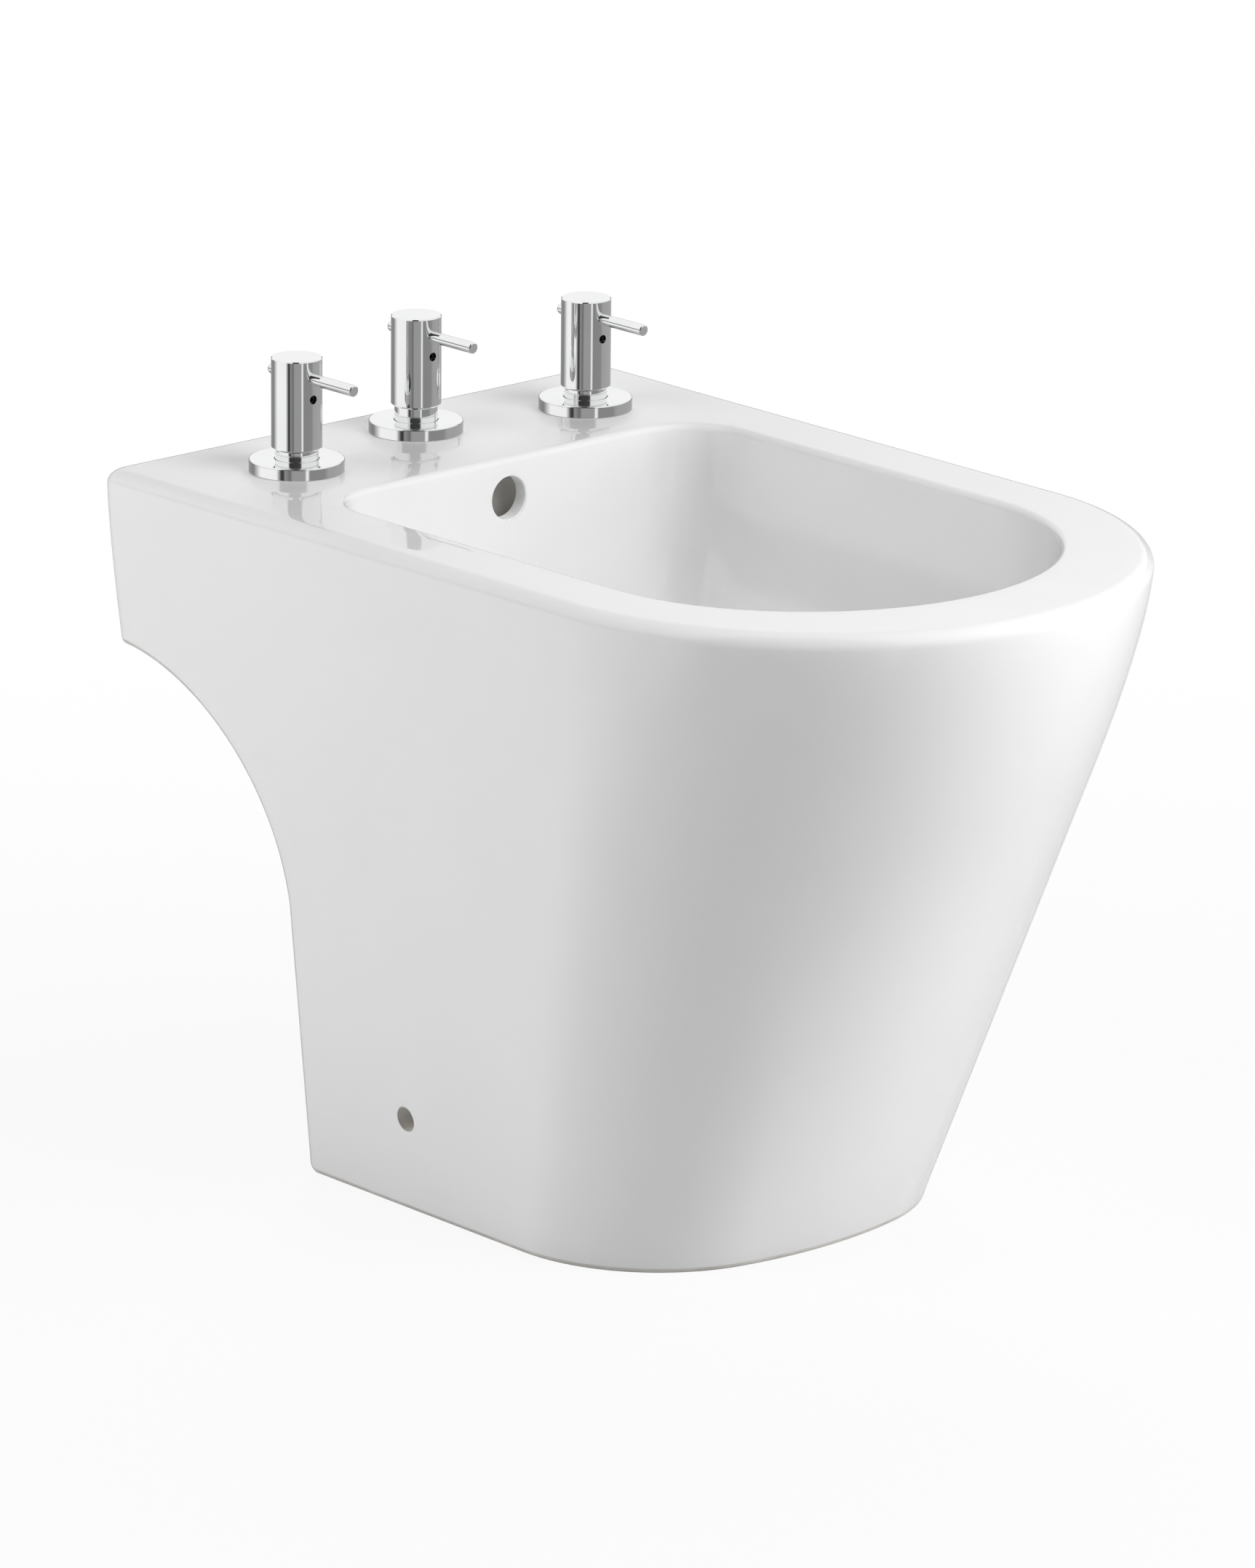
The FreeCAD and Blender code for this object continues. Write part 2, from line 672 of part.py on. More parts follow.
def make_lever(tap):
    length = "(lever_front + lever_rear)"
    body = turned(f"{tap.name}_lever", [
        ("0", "0"), ("lever_radius - lever_tip_edge", "0"), ("lever_radius", "lever_tip_edge"),
        ("lever_radius", length), ("0", length)])
    round_foot = number(f"{length} - lever_rear_round")
    round_edges(body, "lever_rear_round", lambda edge: edge.BoundBox.ZMin > round_foot)
    place(body, tap.x, f"{tap.y} - lever_front",
          f"rim_height + {tap.handle_foot()} + handle_height - lever_drop", axis=(1, 0, 0), angle=-90)


def make_grub_screw(tap):
    length = "(handle_radius - grub_recess - spindle_radius)"
    body = turned(f"{tap.name}_grub_screw", [
        ("0", "0"), ("grub_radius", "0"), ("grub_radius", length), ("0", length)])
    sketch = new_sketch(body, "XY_Plane", length)
    draw_polygon(sketch, hexagon_points("grub_socket_flats"))
    extrude(body, sketch, "grub_socket_depth", cut=True)
    place(body, tap.x, f"{tap.y} - spindle_radius",
          f"rim_height + {tap.handle_foot()} + handle_height - grub_drop", axis=(1, 0, 0), angle=90)


def make_spindle(tap):
    top = f"{SEAT} + {tap.handle_foot()} + {SPINDLE_TOP} - {DISC_STACK}"
    tap.put(turned(f"{tap.name}_spindle", [
        ("0", "0"), ("spindle_foot_radius", "0"), ("spindle_foot_radius", "spindle_foot_thickness"),
        ("spindle_radius", "spindle_foot_thickness"), ("spindle_radius", top), ("0", top)]),
        f"{DISC_STACK} - {SEAT}")


def make_disc(tap, label, above_seat):
    """A ceramic disc with two ports."""
    body = turned(label, [
        ("0", "0"), ("disc_radius", "0"), ("disc_radius", "disc_thickness"), ("0", "disc_thickness")])
    for side in ("disc_hole_offset", "-disc_hole_offset"):
        drill(body, "XY_Plane", "disc_thickness", side, "0", "disc_hole_radius", "disc_thickness + overrun")
    tap.put(body, f"{above_seat} - {SEAT}")


def make_cartridge(tap):
    """The brass headwork: a nose round the discs, a barrel in the shank, a hexagon collar and a gland."""
    inner, bore = "disc_radius + disc_clearance", "spindle_radius + running_clearance"
    nose_top, collar_foot = f"({SEAT} - {CHAMBER_TOP})", f"({SEAT} + shank_rise)"
    collar_top = f"({collar_foot} + collar_height)"
    body = turned(f"{tap.name}_cartridge", [
        (inner, "0"), ("nose_radius", "0"), ("nose_radius", nose_top), ("barrel_radius", nose_top),
        ("barrel_radius", collar_foot), ("gland_radius", collar_foot),
        ("gland_radius", f"{collar_top} + gland_height"), (bore, f"{collar_top} + gland_height"),
        (bore, DISC_CHAMBER), (inner, DISC_CHAMBER)])
    sketch = new_sketch(body, "XY_Plane", collar_foot)
    draw_polygon(sketch, hexagon_points("collar_flats"))
    draw_circle(sketch, "0", "0", "(gland_radius + spindle_radius) / 2")
    extrude(body, sketch, "collar_height")
    drill(body, "YZ_Plane", "0", "0", f"{DISC_STACK} + spindle_foot_thickness / 2", "nose_window_radius",
          "nose_radius * 2 + overrun", both=True)
    tap.put(body, f"-{SEAT}")


def make_valve_body(tap, port_sides, tail_radius):
    """Brass body: a shank through the deck, a chamber with side ports, and a tail below."""
    thread_bore = "barrel_radius + fit_clearance"
    body = turned(f"{tap.name}_valve_body", [
        ("0", f"-{TAIL_FOOT}"), (tail_radius, f"-{TAIL_FOOT}"), (tail_radius, f"-{CHAMBER_FOOT}"),
        ("chamber_radius", f"-{CHAMBER_FOOT}"), ("chamber_radius", f"-{CHAMBER_TOP}"),
        ("shank_radius", f"-{CHAMBER_TOP}"), ("shank_radius", "shank_rise"), ("0", "shank_rise")])
    for side in port_sides:
        sketch = new_sketch(body, "YZ_Plane")
        draw_circle(sketch, "0", f"-{PORT_DROP}", "port_radius")
        extrude(body, sketch, "port_reach", backwards=side < 0)
    step = f"-({CHAMBER_TOP} + running_clearance)"
    revolve(body, [
        ("0", f"-{TAIL_FOOT} - overrun"), ("inlet_bore", f"-{TAIL_FOOT} - overrun"),
        ("inlet_bore", f"-{SEAT}"), ("chamber_bore", f"-{SEAT}"), ("chamber_bore", step), (thread_bore, step),
        (thread_bore, "shank_rise + overrun"), ("0", "shank_rise + overrun")], cut=True)
    socket = "tube_radius + fit_clearance"
    for side in port_sides:
        end = "port_reach" if side > 0 else "-port_reach"
        drill(body, "YZ_Plane", end, "0", f"-{PORT_DROP}", "tube_bore",
              "port_reach - chamber_bore + overrun", backwards=side < 0)
        drill(body, "YZ_Plane", end, "0", f"-{PORT_DROP}", socket, "port_socket", backwards=side < 0)
    if tail_radius == "port_radius":
        drill(body, "XY_Plane", f"-{TAIL_FOOT}", "0", "0", socket, "port_socket", backwards=True)
    tap.put(body, "0")


def make_tap_fixings():
    """Pieces that are the same on all three taps."""
    rings, washers, nuts, seals = [], [], [], []
    for tap in TAPS:
        hold = "shank_radius + fit_clearance"
        rings.append(tap.put(
            ring(f"{tap.name}_lock_ring", hold, "lock_ring_radius", "lock_ring_thickness", False), "0"))
        washers.append(tap.put(
            ring(f"{tap.name}_deck_washer", hold, "deck_washer_radius", "deck_washer_thickness", False),
            f"-{NUT_TOP}"))
        nuts.append(tap.put(
            hex_nut(f"{tap.name}_backing_nut", "backing_nut_flats", "backing_nut_thickness", hold, False),
            f"-{NUT_TOP} - backing_nut_thickness"))
        seals.append(tap.put(
            ring(f"{tap.name}_seat_seal", "seal_hole_radius", "disc_radius", "seal_thickness", False),
            f"-{SEAT}"))
    group("lock_rings", rings)
    group("deck_washers", washers)
    group("backing_nuts", nuts)
    group("seat_seals", seals)


def make_taps():
    port_sides = {"hot": (1,), "spray": (-1, 1), "cold": (-1,)}
    for tap in TAPS:
        make_flange(tap)
        make_neck(tap)
        make_handle(tap)
        make_lever(tap)
        make_grub_screw(tap)
        make_spindle(tap)
        make_disc(tap, f"{tap.name}_moving_disc", "seal_thickness + disc_thickness + disc_gap")
        make_disc(tap, f"{tap.name}_fixed_disc", "seal_thickness")
        make_cartridge(tap)
        make_valve_body(tap, port_sides[tap.name], "port_radius" if tap.name == "spray" else "tail_radius")
    make_tap_fixings()


# Tubes between the valves, and from the middle valve to the spray

def make_feed_tube(label, start_x, start_y, rise_y):
    """A level tube with an S-bend, from one port's socket to the next."""
    length = "(tap_offset - (port_reach - port_socket) * 2)"
    lead = "(port_socket + tube_nut_wall + tube_lead)"
    body = new_body(label)
    path = new_sketch(body, "XY_Plane")
    across, offset = number(f"{length} - {lead} * 2"), number(rise_y)
    bend = (across ** 2 + offset ** 2) / (4 * abs(offset))
    turn = 2 * math.atan2(abs(offset), across)
    up = math.copysign(1, offset)
    start = Vector(number(lead), 0)
    middle = start + Vector(across / 2, offset / 2)
    end = start + Vector(across, offset)

    def arc(from_point, to_point, turn_side):
        along = (to_point - from_point).normalize()
        sagitta = bend * (1 - math.cos(turn / 2))
        halfway = (from_point + to_point) / 2 + Vector(along.y, -along.x) * (sagitta * turn_side)
        return Part.Arc(from_point, halfway, to_point)

    path.addGeometry([
        Part.LineSegment(Vector(), start),
        arc(start, middle, up),
        arc(middle, end, -up),
        Part.LineSegment(end, Vector(number(length), offset)),
    ])
    ends = {1: (1, 2) if up > 0 else (2, 1), 2: (2, 1) if up > 0 else (1, 2)}
    path.addConstraint(Sketcher.Constraint("Tangent", 0, 2, 1, ends[1][0]))
    path.addConstraint(Sketcher.Constraint("Tangent", 1, ends[1][1], 2, ends[2][0]))
    path.addConstraint(Sketcher.Constraint("Tangent", 2, ends[2][1], 3, 1))
    path.addConstraint(Sketcher.Constraint("Coincident", 0, 1, -1, 1))
    path.addConstraint(Sketcher.Constraint("Equal", 1, 2))
    fix_point(path, 0, 2, lead, "0")
    fix_point(path, 3, 1, f"{length} - {lead}", rise_y)
    fix_point(path, 3, 2, length, rise_y)
    section = new_sketch(body, "YZ_Plane")
    draw_circle(section, "0", "0", "tube_radius")
    draw_circle(section, "0", "0", "tube_bore")
    pipe = new_feature(body, "AdditivePipe", section)
    pipe.Spine = path
    place(body, start_x, start_y, f"rim_height - {PORT_DROP}")


SPRAY_SHANK = "(wall + spray_washer_thickness + spray_nut_thickness + spray_spare)"
SPRAY_PORT_FOOT = f"({BOWL_FLOOR} - {SPRAY_SHANK} - port_socket)"


def make_spray_tube():
    """A bent tube that drops from the middle valve, passes beside the waste and rises to the spray."""
    top = number(f"rim_height - {TAIL_FOOT} + port_socket")
    back, front = number(TAPS[1].y), number(from_front("spray_place"))
    side, bend = number("spray_tube_side"), number("spray_tube_bend")
    low = number(f"{SPRAY_PORT_FOOT} - spray_tube_drop")
    upper = number(f"rim_height - {TAIL_FOOT} - spray_tube_fall")
    beside = number(from_front("drain_place"))
    corners = [
        Vector(0, back, top),
        Vector(0, back, upper),
        Vector(side, (back + beside) / 2 + side / 2, low),
        Vector(side, beside - side / 2, low),
        Vector(0, front, low),
        Vector(0, front, number(f"{SPRAY_PORT_FOOT} + port_socket")),
    ]
    edges, here = [], corners[0]
    for before, corner, after in zip(corners, corners[1:], corners[2:]):
        inward, outward = (before - corner).normalize(), (after - corner).normalize()
        half_angle = inward.getAngle(outward) / 2
        reach = bend / math.tan(half_angle)
        arc_start, arc_end = corner + inward * reach, corner + outward * reach
        bisector = (inward + outward).normalize()
        arc_middle = corner + bisector * (bend / math.sin(half_angle) - bend)
        edges.append(Part.LineSegment(here, arc_start).toShape())
        edges.append(Part.Arc(arc_start, arc_middle, arc_end).toShape())
        here = arc_end
    edges.append(Part.LineSegment(here, corners[-1]).toShape())
    path = Part.Wire(edges)

    def sweep(radius):
        circle = Part.Circle(corners[0], Vector(0, 0, 1), radius)
        return path.makePipeShell([Part.Wire(circle.toShape())], True, False)

    tube = doc.addObject("Part::Feature", "spray_tube")
    tube.Label = "spray_tube"
    tube.Shape = sweep(number("tube_radius")).cut(sweep(number("tube_bore")))
    tube.Placement = Placement()
    nodes.append(tube)


def tube_nut(label):
    body = hex_nut(label, "tube_nut_flats", "tube_nut_length", "tube_radius + fit_clearance", False)
    drill(body, "XY_Plane", "0", "0", "0", "port_radius + fit_clearance",
          "tube_nut_length - tube_nut_wall", backwards=True)
    return body


def make_tubes():
    socket = "(port_reach - port_socket)"
    outer_y, centre_y = TAPS[0].y, TAPS[1].y
    step = "(centre_tap_place - tap_place)"
    make_feed_tube("hot_feed_tube", f"-tap_offset + {socket}", outer_y, step)
    make_feed_tube("cold_feed_tube", socket, centre_y, f"-{step}")
    make_spray_tube()
    grip = "(port_reach - tube_nut_length + tube_nut_wall)"
    port_z = f"rim_height - {PORT_DROP}"
    nuts = []
    for index, (x, y, side) in enumerate((
            (f"-tap_offset + {grip}", outer_y, 1), (f"-{grip}", centre_y, -1),
            (grip, centre_y, 1), (f"tap_offset - {grip}", outer_y, -1))):
        nut = tube_nut(f"feed_tube_nut_{index}")
        place(nut, x, y, port_z, axis=(0, 1, 0), angle=side * 90)
        nuts.append(nut)
    cover = "(tube_nut_length - tube_nut_wall)"
    for label, y, foot in (("spray_tube_nut_top", centre_y, f"rim_height - {TAIL_FOOT}"),
                           ("spray_tube_nut_bottom", from_front("spray_place"), SPRAY_PORT_FOOT)):
        nut = tube_nut(label)
        place(nut, "0", y, f"{foot} + {cover}", axis=(1, 0, 0), angle=180)
        nuts.append(nut)
    group("tube_nuts", nuts)


# Spray in the bowl floor

def make_spray():
    foot = f"({SPRAY_SHANK} + port_socket)"
    seat = f"({foot} + spray_gasket_thickness)"
    crown = f"({seat} + spray_head_height)"
    y = from_front("spray_place")
    head = turned("spray_head", [
        ("spray_bore", "0"), ("port_radius", "0"), ("port_radius", "port_socket"),
        ("spray_shank_radius", "port_socket"), ("spray_shank_radius", seat), ("spray_head_radius", seat),
        ("spray_head_radius", f"{seat} + spray_head_edge"), ("spray_crown_radius", crown), ("0", crown),
        ("0", f"{crown} - spray_crown_thickness"), ("spray_bore", f"{crown} - spray_crown_thickness")])
    drill(head, "XY_Plane", "0", "0", "0", "tube_radius + fit_clearance", "port_socket", backwards=True)
    for x in ("0", "spray_jet_ring"):
        drill(head, "XY_Plane", crown, x, "0", "spray_jet_radius", "spray_crown_thickness + overrun")
    jet = head.Tip
    jets = head.newObject("PartDesign::PolarPattern", "jets")
    jets.Originals = [jet]
    jets.Axis = (next(item for item in head.Origin.OriginFeatures if item.Role == "Z_Axis"), [""])
    jets.Angle = 360
    jets.setExpression("Occurrences", full("spray_jets"))
    head.Tip = jets
    place(head, "0", y, f"{BOWL_FLOOR} - {foot}")
    hold = "spray_shank_radius + fit_clearance"
    place(ring("spray_gasket", hold, "spray_gasket_radius", "spray_gasket_thickness"), "0", y, BOWL_FLOOR)
    under = f"{BOWL_FLOOR} - wall - spray_washer_thickness"
    place(ring("spray_washer", hold, "spray_washer_radius", "spray_washer_thickness"), "0", y, under)
    place(hex_nut("spray_nut", "spray_nut_flats", "spray_nut_thickness", hold), "0", y,
          f"{under} - spray_nut_thickness")


# Waste and plug

WASTE_SEAT = f"({BOWL_FLOOR} - drain_recess_depth)"
WASTE_TOP = f"({WASTE_SEAT} + upper_seal_thickness + waste_flange_thickness)"
PLUG_FOOT = f"({WASTE_TOP} + plug_seal_gap + plug_seal_thickness)"
CLICK_TOP = f"({WASTE_TOP} - waste_bar_drop + click_rise)"
STEM_FOOT = f"({PLUG_FOOT} - stem_length)"


def make_waste():
    y = from_front("drain_place")
    flange_foot = "(waste_length - waste_flange_thickness)"
    bar_top = "(waste_length - waste_bar_drop)"
    relief_radius, relief_top = "(waste_radius - waste_relief_depth)", "(waste_tail + waste_relief_width)"
    body = turned("waste_body", [
        ("waste_bore", "0"), ("waste_radius", "0"), ("waste_radius", "waste_tail"),
        (relief_radius, "waste_tail"), (relief_radius, relief_top), ("waste_radius", relief_top),
        ("waste_radius", flange_foot),
        ("waste_flange_radius", flange_foot), ("waste_flange_radius", "waste_length - flange_edge"),
        ("waste_flange_radius - flange_edge", "waste_length"), ("waste_bore", "waste_length")])
    reach = "(waste_radius + waste_bore) / 2"
    sketch = new_sketch(body, "XY_Plane", f"{bar_top} - waste_bar_height")
    draw_polygon(sketch, [(f"-{reach}", "waste_bar_width / -2"), (reach, "waste_bar_width / -2"),
                          (reach, "waste_bar_width / 2"), (f"-{reach}", "waste_bar_width / 2")])
    extrude(body, sketch, "waste_bar_height")
    sketch = new_sketch(body, "XY_Plane", f"{bar_top} - waste_bar_height")
    draw_circle(sketch, "0", "0", "click_hub_radius")
    extrude(body, sketch, "waste_bar_height")
    drill(body, "XY_Plane", bar_top, "0", "0", "click_radius + fit_clearance", "waste_bar_height + overrun")
    slot_middle = f"(waste_length - ({WASTE_TOP} - {CHANNEL_CEILING}) - channel_depth / 2)"
    sketch = new_sketch(body, "XZ_Plane")
    draw_polygon(sketch, [("-channel_half", f"{slot_middle} - waste_slot_height / 2"),
                          ("channel_half", f"{slot_middle} - waste_slot_height / 2"),
                          ("channel_half", f"{slot_middle} + waste_slot_height / 2"),
                          ("-channel_half", f"{slot_middle} + waste_slot_height / 2")])
    extrude(body, sketch, "waste_radius + overrun", cut=True)
    place(body, "0", y, f"{WASTE_TOP} - waste_length")
    hold = "waste_radius + fit_clearance"
    place(ring("waste_upper_seal", hold, "upper_seal_radius", "upper_seal_thickness"), "0", y, WASTE_SEAT)
    seal_foot = f"({BOSS_FOOT} - lower_seal_thickness)"
    place(ring("waste_lower_seal", hold, "lower_seal_radius", "lower_seal_thickness"), "0", y, seal_foot)
    place(hex_nut("waste_nut", "waste_nut_flats", "waste_nut_thickness", hold), "0", y,
          f"{seal_foot} - waste_nut_thickness")


def make_plug():
    y = from_front("drain_place")
    hold = "stem_radius + fit_clearance"
    plug = turned("waste_plug", [
        (hold, "0"), ("plug_radius", "0"), ("plug_radius", "plug_thickness - plug_crown"),
        ("plug_radius - plug_crown * 2", "plug_thickness"), ("0", "plug_thickness"),
        ("0", "plug_thickness / 2"), (hold, "plug_thickness / 2")])
    place(plug, "0", y, PLUG_FOOT)
    place(ring("plug_seal", "waste_bore", "plug_seal_radius", "plug_seal_thickness"), "0", y,
          f"{PLUG_FOOT} - plug_seal_thickness")
    top = "(stem_length + plug_thickness / 2)"
    stem = turned("plug_stem", [
        ("0", "0"), ("stem_collar_radius", "0"), ("stem_collar_radius", "stem_collar_thickness"),
        ("stem_radius", "stem_collar_thickness"), ("stem_radius", top), ("0", top)])
    place(stem, "0", y, STEM_FOOT)
    bore, guide = "click_bore", "stem_radius + running_clearance"
    barrel = turned("click_barrel", [
        ("0", "0"), ("click_radius", "0"), ("click_radius", "click_length"), (guide, "click_length"),
        (guide, "click_length - click_cap"), (bore, "click_length - click_cap"), (bore, "click_cap"),
        ("0", "click_cap")])
    place(barrel, "0", y, f"{CLICK_TOP} - click_length")
    spring = new_body("click_spring")
    floor = f"({CLICK_TOP} - click_length + click_cap)"
    sketch = new_sketch(spring, "XZ_Plane")
    draw_circle(sketch, "spring_radius", "0", "spring_wire_radius")
    coil = new_feature(spring, "AdditiveHelix", sketch)
    coil.ReferenceAxis = (sketch, ["V_Axis"])
    coil.Mode = "height-turns-angle"
    coil.setExpression("Height", full(f"{STEM_FOOT} - {floor} - spring_wire_radius * 2 - disc_gap * 2"))
    coil.setExpression("Turns", full("spring_turns"))
    place(spring, "0", y, f"{floor} + spring_wire_radius + disc_gap")


make_ceramic_body()
make_taps()
make_tubes()
make_spray()
make_waste()
make_plug()
doc.recompute()

for item in doc.Objects:
    if "Invalid" in item.State or "Error" in item.State:
        raise RuntimeError(f"{item.Label} failed: {item.State}")
for node in nodes:
    if node.Shape.isNull() or not node.Shape.isValid():
        raise RuntimeError(f"{node.Label} has no valid shape")

os.makedirs("parts", exist_ok=True)
for node in nodes:
    node.Shape.exportStep(f"parts/{node.Label}.step")
print(len(nodes), "nodes written")
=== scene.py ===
import json
import math
from collections import namedtuple

import bmesh
import bpy
from mathutils import Matrix, Vector


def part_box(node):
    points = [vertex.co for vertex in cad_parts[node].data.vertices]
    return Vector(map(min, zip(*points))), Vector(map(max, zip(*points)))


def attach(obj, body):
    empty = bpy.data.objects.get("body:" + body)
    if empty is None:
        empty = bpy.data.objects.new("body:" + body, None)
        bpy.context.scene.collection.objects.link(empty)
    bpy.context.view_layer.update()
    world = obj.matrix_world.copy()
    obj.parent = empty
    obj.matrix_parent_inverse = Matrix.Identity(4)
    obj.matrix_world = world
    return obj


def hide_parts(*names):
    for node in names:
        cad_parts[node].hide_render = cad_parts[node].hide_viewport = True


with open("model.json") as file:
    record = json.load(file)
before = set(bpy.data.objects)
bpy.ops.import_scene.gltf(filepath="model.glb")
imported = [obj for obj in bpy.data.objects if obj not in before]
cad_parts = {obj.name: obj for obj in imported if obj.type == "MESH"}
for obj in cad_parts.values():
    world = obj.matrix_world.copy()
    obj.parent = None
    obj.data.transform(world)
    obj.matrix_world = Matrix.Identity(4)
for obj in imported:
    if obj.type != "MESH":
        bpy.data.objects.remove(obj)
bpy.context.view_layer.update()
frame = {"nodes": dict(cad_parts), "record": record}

# Sizes are in millimetres until a mesh is made
MM = 0.001
TAPS = ("hot", "spray", "cold")
# The mesh value that is 1 where the ceramic gets the darker unglazed colour: bare clay inside the skirt
# and under the bowl, and painted shade inside the overflow channel and the fixing holes
BARE_AND_SHADE = "bare_and_shade"

# Outlines of the ceramic body, measured back from the front of the rim: half widths at the shoulder and
# at the back, the shoulder's place by its offset and setback, and the radius of the rear corners
Outline = namedtuple("Outline", "front half offset setback back_half back corner")
RIM = Outline(front=0, half=184, offset=13, setback=9, back_half=188, back=560, corner=9)
BASE = Outline(front=164.4, half=134, offset=36.5, setback=4, back_half=130, back=560, corner=9)
BOWL = Outline(front=55, half=140, offset=15, setback=7, back_half=140, back=430, corner=38)
FLOOR = Outline(front=206, half=58, offset=6, setback=3.5, back_half=58, back=388, corner=30)
RIM_HEIGHT = 396
RIM_ROUND = 8
LIP_ROUND = 4
WALL = 12
DECK_THICKNESS = 14
BOWL_DEPTH = 150
BOWL_POWER = 2.4
STRAIGHT_SHARE = 0.68
EASING_POWER = 1.35
# Clearance behind the pedestal, and the rounding of the free edges round it
CUT_RADIUS = 130
CUT_HEIGHT = 165
PEDESTAL_BACK = 437
PEDESTAL_FOOT = 448
FOOT_ROUND = 6
EDGE_ROUND = 3
# Holes and what stands behind them. The overflow's shaft is wider than the channel from it to the drain
OVERFLOW_RADIUS = 12.3
OVERFLOW_DROP = 23.5
SHAFT_HALF = 18
CHANNEL_HALF = 13
CHANNEL_DEPTH = 14
CHANNEL_WALL = 8
FIXING_RADIUS = 7
FIXING_PLACE = 355.5
FIXING_HEIGHT = 56
DECK_HOLE_RADIUS = 17
DRAIN_PLACE = 340
DRAIN_RADIUS = 22.5
DRAIN_RECESS_RADIUS = 34
DRAIN_RECESS_DEPTH = 4.5
BOSS_RADIUS = 36
BOSS_LENGTH = 42
SPRAY_PLACE = 262
SPRAY_HOLE_RADIUS = 11
HOLE_ROUND = 0.9
OVERRUN = 4

# How finely the ceramic body is divided
FRONT_STEPS, SHOULDER_STEPS, SIDE_STEPS, CORNER_STEPS, BACK_STEPS = 22, 48, 44, 10, 22
FOOT_STEPS, PEDESTAL_STEPS, CUT_STEPS, SKIRT_STEPS = 6, 18, 30, 26
ROUND_STEPS, FLAT_STEPS, BOWL_STEPS, FLOOR_STEPS, EDGE_STEPS = 10, 5, 44, 6, 5
LATHE_STEPS = 96
# How trim is cleaned and rounded, and from which angle an edge of the ceramic body stays sharp
WELD = 0.001
FLAT_DEGREES, EDGE_DEGREES, SHARP_DEGREES = 0.5, 30, 38
BEVEL_STEPS = 3
QUARTER_TURN, WHOLE_TURN = 90, 360

SKIRT_TOP = RIM_HEIGHT - RIM_ROUND
LIP_FOOT = RIM_HEIGHT - LIP_ROUND
DECK_UNDERSIDE = RIM_HEIGHT - DECK_THICKNESS
BOWL_FLOOR = RIM_HEIGHT - BOWL_DEPTH
CHANNEL_FRONT = BOWL.back + CHANNEL_WALL
CHANNEL_TOP = RIM_HEIGHT - OVERFLOW_DROP + OVERFLOW_RADIUS
CHANNEL_CEILING = BOWL_FLOOR - WALL - CHANNEL_WALL
CHANNEL_FLOOR = CHANNEL_CEILING - CHANNEL_DEPTH
SHAFT_FOOT = CHANNEL_FLOOR + CHANNEL_DEPTH / 2
FIXING_REACH = WALL * 2
SHELL_TOP = RIM_HEIGHT - DECK_THICKNESS / 2
SHELL_DEPTH = SHELL_TOP - BOWL_FLOOR + WALL


# Mesh helpers

def to_metres(x, back, height):
    """A point of the part's frame from millimetres measured back from the front of the rim."""
    return Vector((x, back - RIM.back / 2, height)) * MM


def turned(angle, axis):
    return Matrix.Rotation(angle, 4, axis)


def shares(steps):
    """Even shares of a whole from 0 to 1."""
    return [step / steps for step in range(steps + 1)]


def quarter_turn(steps):
    """Even angles from 0 to a right angle."""
    return [share * math.pi / 2 for share in shares(steps)]


def new_piece(name, verts, faces):
    """A mesh object with its faces turned outward."""
    mesh = bpy.data.meshes.new(name)
    mesh.from_pydata(verts, [], faces)
    work = bmesh.new()
    work.from_mesh(mesh)
    bmesh.ops.recalc_face_normals(work, faces=work.faces)
    work.to_mesh(mesh)
    work.free()
    piece = bpy.data.objects.new(name, mesh)
    bpy.context.scene.collection.objects.link(piece)
    return piece


def apply_modifiers(piece):
    bpy.context.view_layer.update()
    evaluated = piece.evaluated_get(bpy.context.evaluated_depsgraph_get())
    mesh = bpy.data.meshes.new_from_object(evaluated)
    piece.modifiers.clear()
    piece.data = mesh


def combine(piece, others, operation):
    """Add solids to a piece, or take them out of it."""
    for other in others:
        modifier = piece.modifiers.new("combine", "BOOLEAN")
        modifier.operation = operation
        modifier.solver = "EXACT"
        modifier.object = other
    apply_modifiers(piece)
    for other in others:
        bpy.data.objects.remove(other)


# Ceramic body

def blended(first, second, share):
    return Outline(*(low + (high - low) * share for low, high in zip(first, second)))


def inset_skirt(outline, inset):
    return outline._replace(front=outline.front + inset, half=outline.half - inset,
                            back_half=outline.back_half - inset, back=outline.back - inset)


def spread_bowl(outline, spread):
    return inset_skirt(outline, -spread)._replace(corner=outline.corner + spread)


def skirt_outline(height, inset=0):
    """The skirt grows straight from base to rim, then eases to upright."""
    share = min(height / SKIRT_TOP, 1)
    slope = EASING_POWER / (EASING_POWER * STRAIGHT_SHARE + 1 - STRAIGHT_SHARE)
    grown = slope * share
    if share > STRAIGHT_SHARE:
        left = (1 - share) / (1 - STRAIGHT_SHARE)
        grown = 1 - slope * (1 - STRAIGHT_SHARE) / EASING_POWER * left ** EASING_POWER
    return inset_skirt(blended(BASE, RIM, grown), inset)


